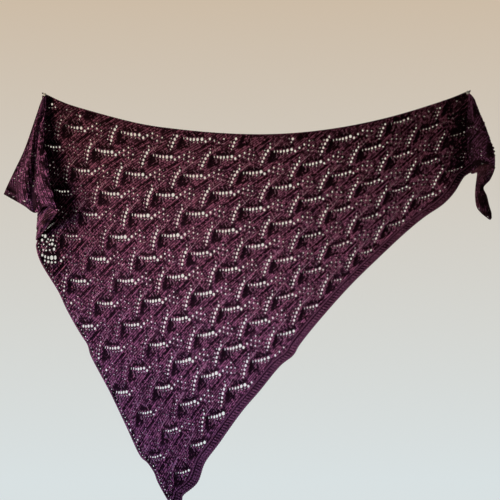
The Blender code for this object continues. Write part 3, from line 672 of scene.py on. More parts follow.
# Meshes
def add_object(name, verts, faces, surface, uv=None, tone=None, reverse=None):
    """A smooth-shaded mesh object from world millimetres, with its own UVs, tone and wrong side."""
    verts = np.asarray(verts, float)
    faces = np.asarray(faces, np.int32)
    mesh = bpy.data.meshes.new(name)
    size = faces.shape[1]
    mesh.vertices.add(len(verts))
    mesh.vertices.foreach_set("co", (verts * MM).ravel())
    mesh.loops.add(faces.size)
    mesh.loops.foreach_set("vertex_index", faces.ravel())
    mesh.polygons.add(len(faces))
    mesh.polygons.foreach_set("loop_start", np.arange(0, faces.size, size, dtype=np.int32))
    mesh.update(calc_edges=True)
    mesh.polygons.foreach_set("use_smooth", np.ones(len(faces), bool))
    if uv is not None:
        layer = mesh.uv_layers.new(name="yarn")
        layer.data.foreach_set("uv", np.asarray(uv, float)[faces.ravel()].ravel())
    for label, values in (("tone", tone), ("reverse", reverse)):
        if values is not None:
            attribute = mesh.attributes.new(label, "FLOAT", "POINT")
            attribute.data.foreach_set("value", np.asarray(values, float))
    mesh.validate()
    mesh.materials.append(surface)
    made = bpy.data.objects.new(name, mesh)
    bpy.context.scene.collection.objects.link(made)
    return made


def thick_shell(front, back, faces):
    """Closed mesh between two like sheets; faces wind outward on the front one."""
    count = len(front)
    corners = faces.shape[1]
    edges = np.vstack([faces[:, (i, (i + 1) % corners)] for i in range(corners)])
    keys = edges[:, 0].astype(np.int64) * count + edges[:, 1]
    twins = edges[:, 1].astype(np.int64) * count + edges[:, 0]
    start, stop = edges[~np.isin(keys, twins)].T
    if corners == 3:
        rims = np.vstack([np.column_stack([stop, start, start + count]),
                          np.column_stack([stop, start + count, stop + count])])
    else:
        rims = np.column_stack([stop, start, start + count, stop + count])
    return np.vstack([front, back]), np.vstack([faces, faces[:, ::-1] + count, rims])


def motif_corners(reach):
    """(u, v) of the corner of every motif that comes into a stretch."""
    (u0, u1), (v0, v1) = reach
    for wale in range(int(u0 // STITCHES) - 1, int(u1 // STITCHES) + 2):
        rise = HALF_DROP * wale
        for motif in range(int((v0 - rise) // ROWS) - 1, int((v1 - rise) // ROWS) + 2):
            yield np.array((STITCHES * wale, ROWS * motif + rise), float)


def stretch_holes(cloth, outline, reach, settings, pins, singles, band):
    """Each hole of a stretch as (u, v, half sizes, sides, family), and its centre on the sheet."""
    found = np.array([(*(corner + (hole.stitch, hole.row)), *hole[3:])
                      for corner in motif_corners(reach) for hole in HOLES])
    found = found[inside(outline, cloth.flat(found[:, :2]))]
    centres = cloth.flat(found[:, :2])
    families = found[:, 5].astype(int)
    found[:, 2:4] *= cloth.kept(found[:, :2])[np.arange(len(found)), families, None]
    clear = edge_distance(outline, centres) > found[:, 2:4].max(axis=1) + settings.edge_mm
    for pin in pins:
        clear &= np.linalg.norm(centres - pin, axis=1) > CLEAR_OF_PIN
    if band is not None:
        clear &= line_distance(band, centres) > settings.band_mm
    for hole in singles:
        clear &= np.linalg.norm(centres - hole[2:4], axis=1) > hole[5] + CLEAR_OF_SINGLE
    found, centres = found[clear], centres[clear]
    if len(singles):
        plain = np.column_stack([singles[:, :2], singles[:, 4:], np.zeros(len(singles))])
        found = np.vstack([found, plain])
        centres = np.vstack([centres, singles[:, 2:4]])
    return found, centres


def sheet_points(cloth, outline, outline_knit, reach, settings, pins, singles, band):
    """A sheet's points with their (u, v), the loops of its edge and holes, and each point's loop or -1."""
    points = [outline]
    knits = [outline_knit]
    found, centres = stretch_holes(cloth, outline, reach, settings, pins, singles, band)
    rng = np.random.default_rng(11)
    for hole, centre in zip(found, centres):
        sides = int(hole[4])
        turns = np.arange(sides) * math.tau / sides + math.pi / sides
        ring = np.column_stack([hole[2] * np.cos(turns), hole[3] * np.sin(turns)]) * rng.uniform(*HOLE_VARIES)
        points.append(centre + cloth.turned(ring))
        knits.append(hole[:2] + ring @ WALL_TO_KNIT.T)
    turns = np.arange(8) * math.tau / 8
    for pin in pins:
        points.append(pin + NEEDLE_HOLE * np.column_stack([np.cos(turns), np.sin(turns)]))
        knits.append(np.zeros((8, 2)))
    counts = [len(ring) for ring in points]
    firsts = np.cumsum([0, *counts])
    loops = [list(range(first, first + count)) for first, count in zip(firsts, counts)]
    loop_of = np.repeat([-1, *range(1, len(counts))], counts)
    (u0, u1), (v0, v1) = reach
    grid = np.array([(u, v) for u in np.arange(u0, u1, GRID_STITCHES) for v in np.arange(v0, v1, GRID_ROWS)])
    spots = cloth.flat(grid)
    kept = inside(outline, spots)
    grid, spots = grid[kept], spots[kept]
    away, _ = hole_push(grid, GRID_RIM, cloth.kept(grid))
    kept = (away > 1) & (edge_distance(outline, spots) > GRID_EDGE)
    for hole in singles:
        kept &= np.linalg.norm(spots - hole[2:4], axis=1) > hole[5] + GRID_RIM
    for pin in pins:
        kept &= np.linalg.norm(spots - pin, axis=1) > GRID_PIN
    points.append(spots[kept])
    knits.append(grid[kept])
    return np.vstack(points), np.vstack(knits), loops, np.r_[loop_of, np.full(kept.sum(), -1)]


def cut_sheet(cloth, outline, *plan):
    """Triangles of a sheet with its holes left open, and its points with their (u, v)."""
    points, knits, loops, loop_of = sheet_points(cloth, outline, *plan)
    edges = [(loop[i - 1], loop[i]) for loop in loops for i in range(len(loop))]
    verts, _, faces, origins, _, _ = delaunay_2d_cdt(list(map(tuple, points)), edges, [], 1, 1e-5, True)
    faces = np.array([face for face in faces if len(face) == 3])
    source = np.array([origin[0] if origin else -1 for origin in origins])
    spots = np.array([tuple(v) for v in verts])
    knits = np.where((source >= 0)[:, None], knits[np.maximum(source, 0)], 0)
    loop_of = np.where(source >= 0, loop_of[np.maximum(source, 0)], -1)
    of = loop_of[faces]
    closed = (of[:, 0] == of[:, 1]) & (of[:, 1] == of[:, 2]) & (of[:, 0] > 0)
    faces = faces[~closed & inside(outline, spots[faces].mean(axis=1))]
    used = np.unique(faces)
    renumber = np.full(len(spots), -1)
    renumber[used] = np.arange(len(used))
    return renumber[faces], spots[used], knits[used]


def lace_shell(name, cloth, outline, outline_knit, surface, reach, settings, pins=(), singles=(), band=None):
    """The lace's sheet, with every hole of its repeat cut and the single holes as well."""
    faces, spots, knits = cut_sheet(cloth, outline, outline_knit, reach, settings, pins, singles, band)
    lift, shade = relief(knits)
    lift *= settings.relief * np.clip(edge_distance(outline, spots) / EDGE_FADE, 0, 1)
    half = settings.sheet_mm / 2
    front = cloth.world(spots, lift + half)
    back = cloth.world(spots, lift - half)
    first = front[faces[0]]
    way = np.cross(first[1] - first[0], first[2] - first[0]) @ cloth.normal(spots[faces[0]]).mean(axis=0)
    if way < 0:
        faces = faces[:, ::-1]
    verts, faces = thick_shell(front, back, faces)
    # The tone carries the relief's painted shade and the painted light and shade of each place
    tone = np.clip(0.5 + shade + painted_light_at(name, front), 0, 1)
    return add_object(name, verts, faces, surface, np.vstack([knits, knits]) / UV_STITCHES,
                      np.r_[tone, tone], np.repeat((0.0, 1.0), len(front)))


def strands(name, starts, stops, normals, width, height, surface, tone):
    """Short tapered lengths of yarn, each a closed spindle from start to stop."""
    middle = 0.5 * (starts + stops)
    along = stops - starts
    axis = unit(along)
    up = unit(normals - (normals * axis).sum(axis=1, keepdims=True) * axis)
    out = np.cross(up, axis) * np.broadcast_to(width, len(starts))[:, None] / 2
    up = up * np.broadcast_to(height, len(starts))[:, None] / 2
    ring = [middle + out, middle + up, middle - out, middle - up]
    verts = np.stack([starts, stops, *ring], axis=1).reshape(-1, 3)
    pattern = []  # corners 0 and 1 are the ends, and 2 to 5 the ring round the middle
    for k in range(4):
        here, after = 2 + k, 2 + (k + 1) % 4
        pattern += [(1, here, after), (0, after, here)]
    base = np.arange(len(starts))[:, None, None] * 6
    faces = (base + np.array(pattern)[None]).reshape(-1, 3)
    uv = np.tile([(0, 0.5), (1, 0.5), (0.5, 0), (0.5, 0.33), (0.5, 0.66), (0.5, 1)], (len(starts), 1))
    uv[:, 0] += np.repeat(np.arange(len(starts)) * 1.37, 6)
    # Each spindle is painted lighter on top and darker at its sides and underneath
    tones = np.clip(np.repeat(tone, 6) + np.tile(STRAND_PAINTED_LIGHT, len(starts)), 0, 1.2)
    return add_object(name, verts, faces, surface, uv, tones)


def beads(name, centres, size, surface, tone):
    """Small rounded knots of yarn, each a closed ball of the size's half widths."""
    turns = np.arange(8) * math.tau / 8
    circle = np.column_stack([np.cos(turns), np.sin(turns), np.zeros(8)])
    rings = [circle * math.cos(rise) + (0, 0, math.sin(rise)) for rise in (-0.9, 0.0, 0.9)]
    ball = np.vstack([(0, 0, -1), *rings, (0, 0, 1)]) * size
    faces = []  # the foot is corner 0, the three rings start at 1, 9 and 17, and the head is 25
    for k in range(8):
        after = (k + 1) % 8
        faces += [(0, 1 + after, 1 + k), (25, 17 + k, 17 + after)]
        for low in (1, 9):
            faces += [(low + k, low + after, low + after + 8), (low + k, low + after + 8, low + k + 8)]
    verts = (centres[:, None] + ball[None]).reshape(-1, 3)
    faces = (np.arange(len(centres))[:, None, None] * len(ball) + np.array(faces)[None]).reshape(-1, 3)
    return add_object(name, verts, faces, surface, verts[:, (0, 2)] / 3, np.full(len(verts), tone))


def stitch_legs(cloth, outline, reach, settings, seed, singles=()):
    """Ends, normals, tone and (u, v) of the two legs of every stitch of a stretch."""
    (u0, u1), (v0, v1) = reach
    us = np.arange(math.floor(u0), math.ceil(u1)) + 0.5
    vs = np.arange(math.floor(v0), math.ceil(v1)) + 0.5
    centres = np.array([(u, v) for u in us for v in vs])
    spots = cloth.flat(centres)
    kept = inside(outline, spots)
    centres, spots = centres[kept], spots[kept]
    kept = edge_distance(outline, spots) > settings.edge_mm * 0.6
    for hole in singles:
        kept &= np.linalg.norm(spots - hole[2:4], axis=1) > 0.5 * (hole[4] + hole[5]) + END_SPARE
    centres = centres[kept]
    rng = np.random.default_rng(seed)
    legs = np.concatenate([np.stack([centres + (FOOT_SPREAD * side, -FOOT_DROP),
                                     centres + (HEAD_SPREAD * side, HEAD_RISE)], axis=1) for side in (-1, 1)])
    sides = np.repeat([1.0, -1.0], len(centres))
    own = np.tile(rng.normal(0, STITCH_TONE_SPREAD, len(centres)), 2)
    middles = legs.mean(axis=1)
    away, _ = hole_push(middles, LEG_SPARE, cloth.kept(middles))
    open_to = away > LEG_REACH
    own, sides, legs = own[open_to], sides[open_to], legs[open_to]
    ends = []
    for end, own_lift in enumerate((FOOT_LIFT, HEAD_LIFT)):
        knit = legs[:, end]
        reach_end, out = hole_push(knit, END_SPARE, cloth.kept(knit))
        out[reach_end > 1] = 0
        spots = cloth.held(cloth.flat(knit) + cloth.turned(out))
        fade = np.clip(edge_distance(outline, spots) / EDGE_FADE, 0, 1)
        lift = relief(knit)[0] * settings.relief * fade + settings.sheet_mm / 2 + own_lift
        ends.append(cloth.world(spots, lift + rng.uniform(-LIFT_VARIES, LIFT_VARIES, len(knit))))
    knit = legs.mean(axis=1)
    # The tone carries the relief's painted shade, painted light on each left leg and painted shade on each
    # right one
    tone = STITCH_TONE + relief(knit)[1] + sides * LEG_PAINTED_LIGHT + own
    tone += rng.normal(0, LEG_TONE_SPREAD, len(legs))
    return *ends, cloth.normal(spots), tone, knit


def edge_chain(name, line, normals, surface, tone, pitch=4.6, width=3.2):
    """A bound-off edge: a chain along a line, two strands a link, which open towards its end."""
    length = np.linalg.norm(np.diff(line, axis=0), axis=1).sum()
    count = max(3, int(length / pitch))
    spots = even_steps(line, count)
    ups = unit(even_steps(line, count, normals))
    axis = unit(np.gradient(spots, axis=0))
    side = unit(np.cross(ups, axis))
    half = axis * pitch * LINK_HALF
    starts = np.vstack([spots - half + side * sign * width * LINK_START for sign in (-1, 1)])
    stops = np.vstack([spots + half + side * sign * width * LINK_END for sign in (-1, 1)])
    tones = tone + np.random.default_rng(3).normal(0, 0.06, len(starts))
    return strands(name, starts, stops, np.vstack([ups, ups]), width * LINK_STRAND, CHAIN_HEIGHT,
                   surface, tones)


# Materials
def fill(tree, made, sockets):
    """Gives each named socket its value, or links the output that stands for it."""
    for name, value in sockets.items():
        if isinstance(value, bpy.types.NodeSocket):
            tree.links.new(value, made.inputs[name])
        else:
            made.inputs[name].default_value = value


def node(tree, kind, sockets=None, **settings):
    """A shader node with its settings made first and then its sockets."""
    made = tree.nodes.new(kind)
    for field, value in settings.items():
        setattr(made, field, value)
    fill(tree, made, sockets or {})
    return made


def noise(tree, place, scale, detail=2.0):
    """Soft noise from 0 to 1 over a place."""
    sockets = {"Scale": scale, "Detail": detail, "Vector": place}
    return node(tree, "ShaderNodeTexNoise", sockets).outputs["Fac"]


def scaled_sum(tree, value, share, rest):
    """value x share + rest."""
    return node(tree, "ShaderNodeMath", {0: value, 1: share, 2: rest}, operation="MULTIPLY_ADD").outputs[0]


def spanned(tree, value, low, high):
    """0 to 1 as a value goes from low to high."""
    sockets = {"Value": value, "From Min": low, "From Max": high}
    return node(tree, "ShaderNodeMapRange", sockets).outputs["Result"]


def blend(tree, share, low, high):
    """From one colour to another as the share goes from 0 to 1; a colour may be a node's output."""
    low, high = (end if isinstance(end, bpy.types.NodeSocket) else (*end, 1) for end in (low, high))
    mix = node(tree, "ShaderNodeMix", {"Factor": share, "A": low, "B": high}, data_type="RGBA")
    return mix.outputs["Result"]


def new_material(name, roughness):
    """A material, its node tree and its Principled shader."""
    made = bpy.data.materials.new(name)
    made.use_nodes = True
    shader = made.node_tree.nodes["Principled BSDF"]
    shader.inputs["Roughness"].default_value = roughness
    return made, made.node_tree, shader


def purl_side(tree, facing, spread, yarn, colours):
    """The knit's wrong side, where the reverse attribute is 1: rows of bumps, one a stitch, painted lighter
    on the bumps and darker in the hollows as painted light and shade.
    """
    total = spread
    for way, share in (("Y", 0.5), ("X", 0.3)):
        sockets = {"Scale": math.pi, "Distortion": 1.4, "Vector": yarn}  # one band to a stitch
        wave = node(tree, "ShaderNodeTexWave", sockets, bands_direction=way)
        total = scaled_sum(tree, wave.outputs["Fac"], share, total)
    purl = blend(tree, spanned(tree, total, 0.75, 1.65), colours.reverse_dark, colours.reverse_light)
    side = node(tree, "ShaderNodeAttribute", attribute_name="reverse")
    return blend(tree, side.outputs["Fac"], facing, purl)


def wool(name, colours):
    """Plied wool: each strand's tone, which carries random tone with painted light and painted shade, flecks
    along the yarn, a twist and a fine halo.

    The wool between the stitches, coloured darker as painted shade between them, has coarser flecks, and its
    sheet's back shows the wrong side with painted bumps and hollows.
    """
    made, tree, shader = new_material(f"wool_{name}", 0.86)
    between = name.endswith("between")
    fibre_scale = 260 if between else 420
    place = node(tree, "ShaderNodeTexCoord").outputs["Object"]
    tone = node(tree, "ShaderNodeAttribute", attribute_name="tone").outputs["Fac"]
    yarn = node(tree, "ShaderNodeUVMap", uv_map="yarn").outputs["UV"]
    flecked = scaled_sum(tree, noise(tree, place, fibre_scale, 3.0), 0.35, tone)
    spread = scaled_sum(tree, noise(tree, place, 9.0), 0.25, flecked)
    colour = blend(tree, spanned(tree, spread, 0.35, 1.25), getattr(colours, f"{name}_dark"),
                   getattr(colours, f"{name}_light"))
    if between:
        colour = purl_side(tree, colour, spread, yarn, colours)
    ply = node(tree, "ShaderNodeTexWave", {"Scale": 1.6, "Distortion": 1.2, "Vector": yarn},
               bands_direction="DIAGONAL")
    height = scaled_sum(tree, ply.outputs["Fac"], 0.5, noise(tree, place, fibre_scale * 2.5, 4.0))
    bump = node(tree, "ShaderNodeBump", {"Strength": 0.45, "Distance": 0.0005, "Height": height})
    fill(tree, shader, {"Base Color": colour, "Normal": bump.outputs["Normal"], "Sheen Weight": 0.01,
                        "Sheen Roughness": 0.5, "Sheen Tint": (0.75, 0.45, 0.62, 1),
                        "Specular IOR Level": 0.02})
    return made


def two_tone(name, roughness, noise_scale, dark, light):
    """A plain material with a soft grain between two near colours, and its shader."""
    made, tree, shader = new_material(name, roughness)
    place = node(tree, "ShaderNodeTexCoord").outputs["Object"]
    fill(tree, shader, {"Base Color": blend(tree, noise(tree, place, noise_scale), dark, light)})
    return made, shader


def clear_plastic(colours):
    """The pins' clear heads."""
    made, shader = two_tone("clear_head", 0.12, 400.0, colours.head_dark, colours.head_light)
    shader.inputs["Transmission Weight"].default_value = 0.55
    shader.inputs["IOR"].default_value = 1.5
    return made


def surround(scene, lights):
    """The plain surround: its light is weak from in front, and the camera sees it alike all round."""
    world = bpy.data.worlds.new("surround")
    scene.world = world
    world.use_nodes = True
    tree = world.node_tree
    place = node(tree, "ShaderNodeTexCoord").outputs["Generated"]
    parts = node(tree, "ShaderNodeSeparateXYZ", {"Vector": place}).outputs
    colour = blend(tree, spanned(tree, parts["Z"], *SKY_BLEND), lights.sky_low, lights.sky_high)
    behind = node(tree, "ShaderNodeMapRange", {
        "Value": parts["Y"], "From Min": 0.0, "From Max": SKY_BEHIND,
        "To Min": lights.sky * lights.fill, "To Max": lights.sky * lights.back}).outputs["Result"]
    seen = node(tree, "ShaderNodeLightPath").outputs["Is Camera Ray"]
    strength = node(tree, "ShaderNodeMix", {"Factor": seen, "A": behind, "B": lights.sky})
    fill(tree, tree.nodes["Background"], {"Color": colour, "Strength": strength.outputs["Result"]})


# Stretches of cloth
def border_edges(steps):
    """The border's outer and inner edges as (wale, motif)."""
    outer = smooth_line(BORDER_EDGE, steps)
    inner = outer - (BORDER_WIDTH, 0)
    inner[0] = (outer[0][0] - BORDER_WIDTH, BORDER_FOOT_MOTIF)
    inner[-1] = (outer[-1][0] - BORDER_WIDTH, BORDER_HEAD_MOTIF)
    return outer, inner


def main_outline():
    """The main lace's edge as (wale, motif), as in the CAD but in finer steps."""
    _, inner = border_edges(150)
    inner = inner + (SEAM_LAP, 0)
    bound_off = smooth_line(BOUND_OFF_EDGE, 110)
    valley = smooth_line(VALLEY_LINE, 36)[::-1]
    top = smooth_line(TOP_EDGE, 150)[::-1]
    fold = smooth_line(FOLD_LINE, 50)
    bound_off = bound_off[bound_off[:, 0] < inner[0][0] - 0.1]
    valley = valley[valley[:, 0] < inner[-1][0] - 0.05]
    return np.vstack([bound_off[:-1], inner, valley[:-1], top[:-1], fold[:-1]])


def left_grids(count, across):
    """Fine grids of the layer turned under and of the flap in front of it."""
    fold = smooth_line(FOLD_LINE, 60)
    spots = hang(fold)
    fold = np.column_stack([spots[:, 0], -stand_off(spots), spots[:, 1]])
    fold_shares = np.linspace(0, 1, len(fold))
    knots = [section.down for section in LEFT_FLAP]
    last = knots[-1]
    under, over = [], []
    for share in np.r_[np.linspace(knots[0], last, count), np.linspace(last, 1.0, count // 6)[1:]]:
        section = LeftSection(*catmull(LEFT_FLAP, [min(share, last)], knots)[0])
        start = np.array([np.interp(share, fold_shares, column) for column in fold.T])
        ridge = np.array((section.ridge_x, -section.ridge_off, section.ridge_z))
        closed = max(0.0, (share - last) / (1.0 - last))
        ridge = ridge * (1 - closed) + np.array(TURNED_HEM_END) * closed
        bend = FOLD_RADIUS * min(1.0, FOLD_AT_HEAD + FOLD_GROWTH * share)
        bends = [start + np.array((right, -forward, 0)) * bend for right, forward in FIRST_BEND]
        closing = [ridge + np.array((right, forward, 0)) * bend for right, forward in SECOND_BEND]
        swell = min(1.0, max(0.0, (share - LOBE_FROM) / LOBE_RUN)) * (1 - closed)
        middle = 0.5 * (bends[-1] + closing[-1]) + np.array(LOBE_SWELL) * swell
        under.append([start, *bends, middle, *closing[::-1], ridge])
        if closed:
            continue
        opening = [ridge + np.array((right, -forward, 0)) * bend for right, forward in SECOND_BEND]
        selvage = np.array((section.selvage_x, -section.selvage_off - 2 * bend, section.selvage_z))
        low = max(0.0, (share - knots[-2]) / (last - knots[-2]))
        groove = HEM_GROOVE * math.sin(math.pi * min(1.0, low * GROOVE_CLOSES))
        flap = [ridge, opening[0]]
        for part, pleat, drop in zip(np.linspace(0, 1, len(PLEATS)), PLEATS, HEM_DROP):
            spot = opening[-1] * (1 - part) + selvage * part
            flap.append(spot + (0, groove * (0 < part < 1) - section.pleat * pleat, drop * low**2))
        over.append(flap)
    return [np.array([catmull(row, np.linspace(0, len(row) - 1, across)) for row in rows])
            for rows in (under, over)]


def right_grids(count, across):
    """Fine grids of the right flap and of the layer behind its outer fold."""
    knots = [section.down for section in RIGHT_FLAP]
    outer_edge, inner_edge = border_edges(40)
    valley = smooth_line(VALLEY_LINE, 40)
    valley = np.vstack([valley[valley[:, 0] < inner_edge[-1][0] - 0.05], inner_edge[-1], outer_edge[-1]])
    spots = hang(valley)
    corners = np.column_stack([spots[:, 0], -stand_off(spots), spots[:, 1]])
    shares = np.r_[0, np.cumsum(np.linalg.norm(np.diff(corners, axis=0), axis=1))]
    shares = shares / shares[-1]
    over, behind_rows = [], []
    for share in np.linspace(knots[0], 1.0, count):
        _, ox, oz, o_off, bx, bz, b_off, swell = catmull(RIGHT_FLAP, [share], knots)[0]
        start = np.array([np.interp(share, shares, column) for column in corners.T]) + (VALLEY_GAP, 0, 0)
        outer = np.array((ox, -o_off, oz))
        behind = np.array((bx, -b_off, bz))
        arch = CREASE_RISE * max(0.0, (share - CREASE_FROM) / (1.0 - CREASE_FROM))
        bend = min(FOLD_RADIUS, 0.2 * (o_off - b_off))
        closing = [outer + np.array((right, -forward, 0)) * bend for right, forward in SECOND_BEND]
        opening = [outer + np.array((right, forward, 0)) * bend for right, forward in SECOND_BEND]
        row = [start, start + (VALLEY_RUN, 0, 0)]
        for part, out, up in VALLEY_CURVE:
            row.append((1 - part) * start + part * closing[1] + (0, out * swell, up * arch))
        over.append([*row, *closing[::-1], outer])
        behind_rows.append([outer, *opening, 0.5 * (opening[1] + behind) + (HIDDEN_BULGE, 0, 0), behind])
    return [np.array([catmull(row, np.linspace(0, len(row) - 1, across)) for row in rows])
            for rows in (over, behind_rows)]


def tail_grid(flap_grid, count):
    """Fine grid of the twisted corner under the right flap."""
    columns = np.linspace(0, 2, flap_grid.shape[1])
    onward = unit(flap_grid[-1] - flap_grid[-2])
    rows = [flap_grid[-1], flap_grid[-1] + onward * TAIL_LEAD]
    for section in CORNER_TAIL:
        left = (section.left_x, -section.left_off, section.left_z)
        crest = (section.crest_x, -section.crest_off, section.crest_z)
        right = (section.right_x, -section.right_off, section.right_z)
        rows.append(catmull([left, crest, right], columns))
    steps = [np.linalg.norm(b - a, axis=1).mean() for a, b in zip(rows, rows[1:])]
    knots = np.r_[0, np.cumsum(steps)]
    return catmull(rows, np.linspace(0, knots[-1], count), knots)


def build_lace_stretch(name, cloth, outline, outline_knit, surface, yarn, reach, settings, seed,
                       pins=(), parts=1, singles=(), band=None):
    """A stretch's sheet and its stitches in one or more parts; returns both."""
    shell = lace_shell(name, cloth, outline, outline_knit, surface, reach, settings, pins, singles, band)
    starts, stops, normals, tone, knit = stitch_legs(cloth, outline, reach, settings, seed, singles)
    # Painted light and shade of each place, on the stitches
    tone = tone + painted_light_at(name, 0.5 * (starts + stops))
    limits = np.quantile(knit[:, 0], np.linspace(0, 1, parts + 1))
    limits[0] -= 1
    limits[-1] += 1
    made = []
    for part in range(parts):
        held = (knit[:, 0] >= limits[part]) & (knit[:, 0] < limits[part + 1])
        made.append(strands(f"{name}_stitches_{part + 1}", starts[held], stops[held], normals[held],
                            settings.leg_width_mm, settings.leg_height_mm, yarn, tone[held]))
    return shell, made


def floating_yarns(name, cloth, outline, reach, surface, seed):
    """The yarns that float over every repeat in an outline, in short lengths that follow the cloth."""
    rng = np.random.default_rng(seed)
    lines, widths, tones = [], [], []
    pieces = len(FLOAT_BOW) - 1
    for corner in motif_corners(reach):
        for yarn in FLOATS:
            ends = np.array([(yarn.stitch0, yarn.row0), (yarn.stitch1, yarn.row1)]) + corner
            lines.append(even_steps(ends + rng.normal(0, FLOAT_VARIES, (2, 2)), pieces))
            widths.append(yarn.width)
            tones.append(yarn.tone + rng.normal(0, FLOAT_TONE_SPREAD))
    knit = np.vstack(lines)
    spots = cloth.flat(knit)
    clear = inside(outline, spots) & (edge_distance(outline, spots) > FLOAT_EDGE) & (spots[:, 0] < FLOATS_END)
    clear = clear.reshape(-1, pieces + 1).all(axis=1)
    lift = relief(knit)[0] + FLOAT_LIFT + np.tile(FLOAT_BOW, len(lines))
    world = cloth.world(spots, lift).reshape(-1, pieces + 1, 3)[clear]
    lap = FLOAT_LAP * (world[:, 1:] - world[:, :-1])
    starts, stops = (world[:, :-1] - lap).reshape(-1, 3), (world[:, 1:] + lap).reshape(-1, 3)
    widths, tones = (np.repeat(np.array(values)[clear], pieces) for values in (widths, tones))
    ways = np.tile((0.0, -1.0, 0.0), (len(starts), 1))
    return strands(name, starts, stops, ways, widths, FLOAT_HEIGHT, surface, tones)


def single_holes(spots, sizes):
    """Rows of holes that don't repeat: u, v, x, z, half sizes and sides."""
    return np.column_stack([to_knit(unhang(spots)), spots, sizes, np.full(len(spots), 6)])


def bound_off_holes():
    """Small eyelets just inside the bound-off edge, and the open strip at its head."""
    strip = np.array(STRIP_HOLES)
    line = hang(smooth_line(BOUND_OFF_EDGE, 80)[1:-3])
    inward = unit(np.gradient(line, axis=0))[:, ::-1] * (-1, 1)
    rng = np.random.default_rng(2)
    spots = line + inward * rng.uniform(*EYELET_INSET, len(line))[:, None]
    sizes = rng.uniform(*EYELET_VARIES, len(line))[:, None] * EYELET_SIZE
    distances = np.array([np.linalg.norm(strip[:, :2] - spot, axis=1).min() for spot in spots])
    apart = distances > EYELETS_FROM_STRIP
    return np.vstack([single_holes(spots[apart], sizes[apart]), single_holes(strip[:, :2], strip[:, 2:])])


def edge_along(name, cloth, places, yarn, tone):
    """A chain just inside one edge of the main lace."""
    line = hang(smooth_line(places, 260))
    inward = unit(np.gradient(line, axis=0))[:, ::-1] * (1, -1)
    inward *= np.sign((inward @ (LACE_MIDDLE - line.mean(axis=0))).mean())
    spots = line + inward * EDGE_INSET
    return edge_chain(name, cloth.world(spots, EDGE_LIFT), cloth.normal(spots), yarn, tone)


def across_border(share, bumps):
    """The sum of smooth bumps across the border."""
    return sum(height * np.exp(-(((share - place) / half) ** 2)) for place, half, height in bumps)


def border_sheet(settings, surface, rng):
    """The border's ribbed sheet, and the length of its outer edge."""
    outer, inner = border_edges(1100)
    across = np.linspace(0, 1, 13)
    places = np.array([inner + share * (outer - inner) for share in across]).transpose(1, 0, 2)
    spots = hang(places.reshape(-1, 2))
    rows, columns = places.shape[:2]
    edge = spots.reshape(rows, columns, 2)[:, -1]
    along = np.r_[0, np.cumsum(np.linalg.norm(np.diff(edge, axis=0), axis=1))]
    share = np.tile(across, rows)
    ribbed = np.repeat(np.cos(along / settings.rib_pitch_mm * math.tau), columns)
    ribbed *= np.clip((share - RIBS_FROM) / RIBS_FADE_IN, 0, 1)
    ribbed *= np.clip((RIBS_TO - share) / RIBS_FADE_OUT, 0, 1)
    welts = across_border(share, WELTS)
    trench = across_border(share, TRENCHES)
    lift = RIB_RISE * ribbed + WELT_RISE * welts - TRENCH_DROP * trench
    off = stand_off(spots)
    front = np.column_stack([spots[:, 0], -(off + lift + BORDER_HALF), spots[:, 1]])
    back = np.column_stack([spots[:, 0], -(off - 0.5 * lift - BORDER_HALF), spots[:, 1]])
    index = np.arange(rows * columns).reshape(rows, columns)
    corners = (index[:-1, :-1], index[:-1, 1:], index[1:, 1:], index[1:, :-1])
    faces = np.column_stack([corner.ravel() for corner in corners])
    quad = front[faces[0]]
    if np.cross(quad[1] - quad[0], quad[2] - quad[0])[1] > 0:
        faces = faces[:, ::-1]
    verts, faces = thick_shell(front, back, faces)
    uv = np.column_stack([np.repeat(along, columns) / 3, share * 4])
    # Painted light on the ribs and welts, painted shade in the trenches, and the painted light and shade of
    # each place
    tone = BORDER_TONE + RIB_PAINTED_LIGHT * ribbed + WELT_PAINTED_LIGHT * welts - TRENCH_PAINTED_SHADE * trench
    tone += rng.normal(0, BORDER_TONE_SPREAD, len(share))
    tone = np.clip(tone + painted_light_at("border", front), 0, 1)
    made = add_object("border_knit", verts, faces, surface, np.vstack([uv, uv]), np.r_[tone, tone])
    return made, along[-1]


def border_ribs(cloth, inner, outer, surface, rng):
    """One slanting rib of yarn after another, each in two lengths across the border."""
    starts, stops, ways = [], [], []
    for near, far in RIB_LENGTHS:
        wobble = rng.normal(0, RIB_VARIES, (len(inner), 2))
        for share, ends in ((near, starts), (far, stops)):
            line = hang(inner + (share + wobble[:, :1]) * (outer - inner))
            slip = np.roll(line, -1, axis=0) - line
            slip[-1] = slip[-2]
            spots = line + slip * (RIB_SLANT * share)
            ends.append(cloth.world(spots, RIB_LIFT + rng.normal(0, RIB_LIFT_SPREAD, len(spots))))
        ways.append(cloth.normal(spots))
    starts, stops, ways = np.vstack(starts), np.vstack(stops), np.vstack(ways)
    # Painted light and shade of each place, on the ribs
    tone = RIB_TONE + rng.normal(0, RIB_TONE_SPREAD, len(starts)) + painted_light_at("border", starts)
    return strands("border_ribs", starts, stops, ways, RIB_WIDTH, RIB_HEIGHT, surface, tone)


def patch_reach(cloth):
    """The (u, v) ranges that hold a folded stretch."""
    wide, tall = cloth.across[-1], cloth.down[-1]
    corners = cloth.knit(np.array([(0, 0), (wide, 0), (0, tall), (wide, tall)]))
    low, high = corners.min(axis=0) - 2, corners.max(axis=0) + 2
    return (low[0], high[0]), (low[1], high[1])


def finish_piece(pieces, nodes):
    """Fixes the pieces to the body and hides the CAD nodes that they stand for."""
    for piece in pieces:
        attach(piece, "root")
    if nodes:
        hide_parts(*nodes)


def build_patch(name, grid, corner, turn, front, surface, yarn, settings, seed):
    """A folded stretch of lace with its stitches."""
    cloth = PatchCloth(grid, corner, turn, front)
    outline = cloth.outline(2.5)
    shell, stitches = build_lace_stretch(name + "_knit", cloth, outline, cloth.knit(outline), surface, yarn,
                                         patch_reach(cloth), settings, seed)
    finish_piece([shell, *stitches], [name])


# Settings
def colour(name, description, default):
    """A colour in the panel, as scene-linear red, green and blue."""
    return FloatVectorProperty(name=name, description=description, default=default, subtype="COLOR",
                               min=0.0, max=1.0)


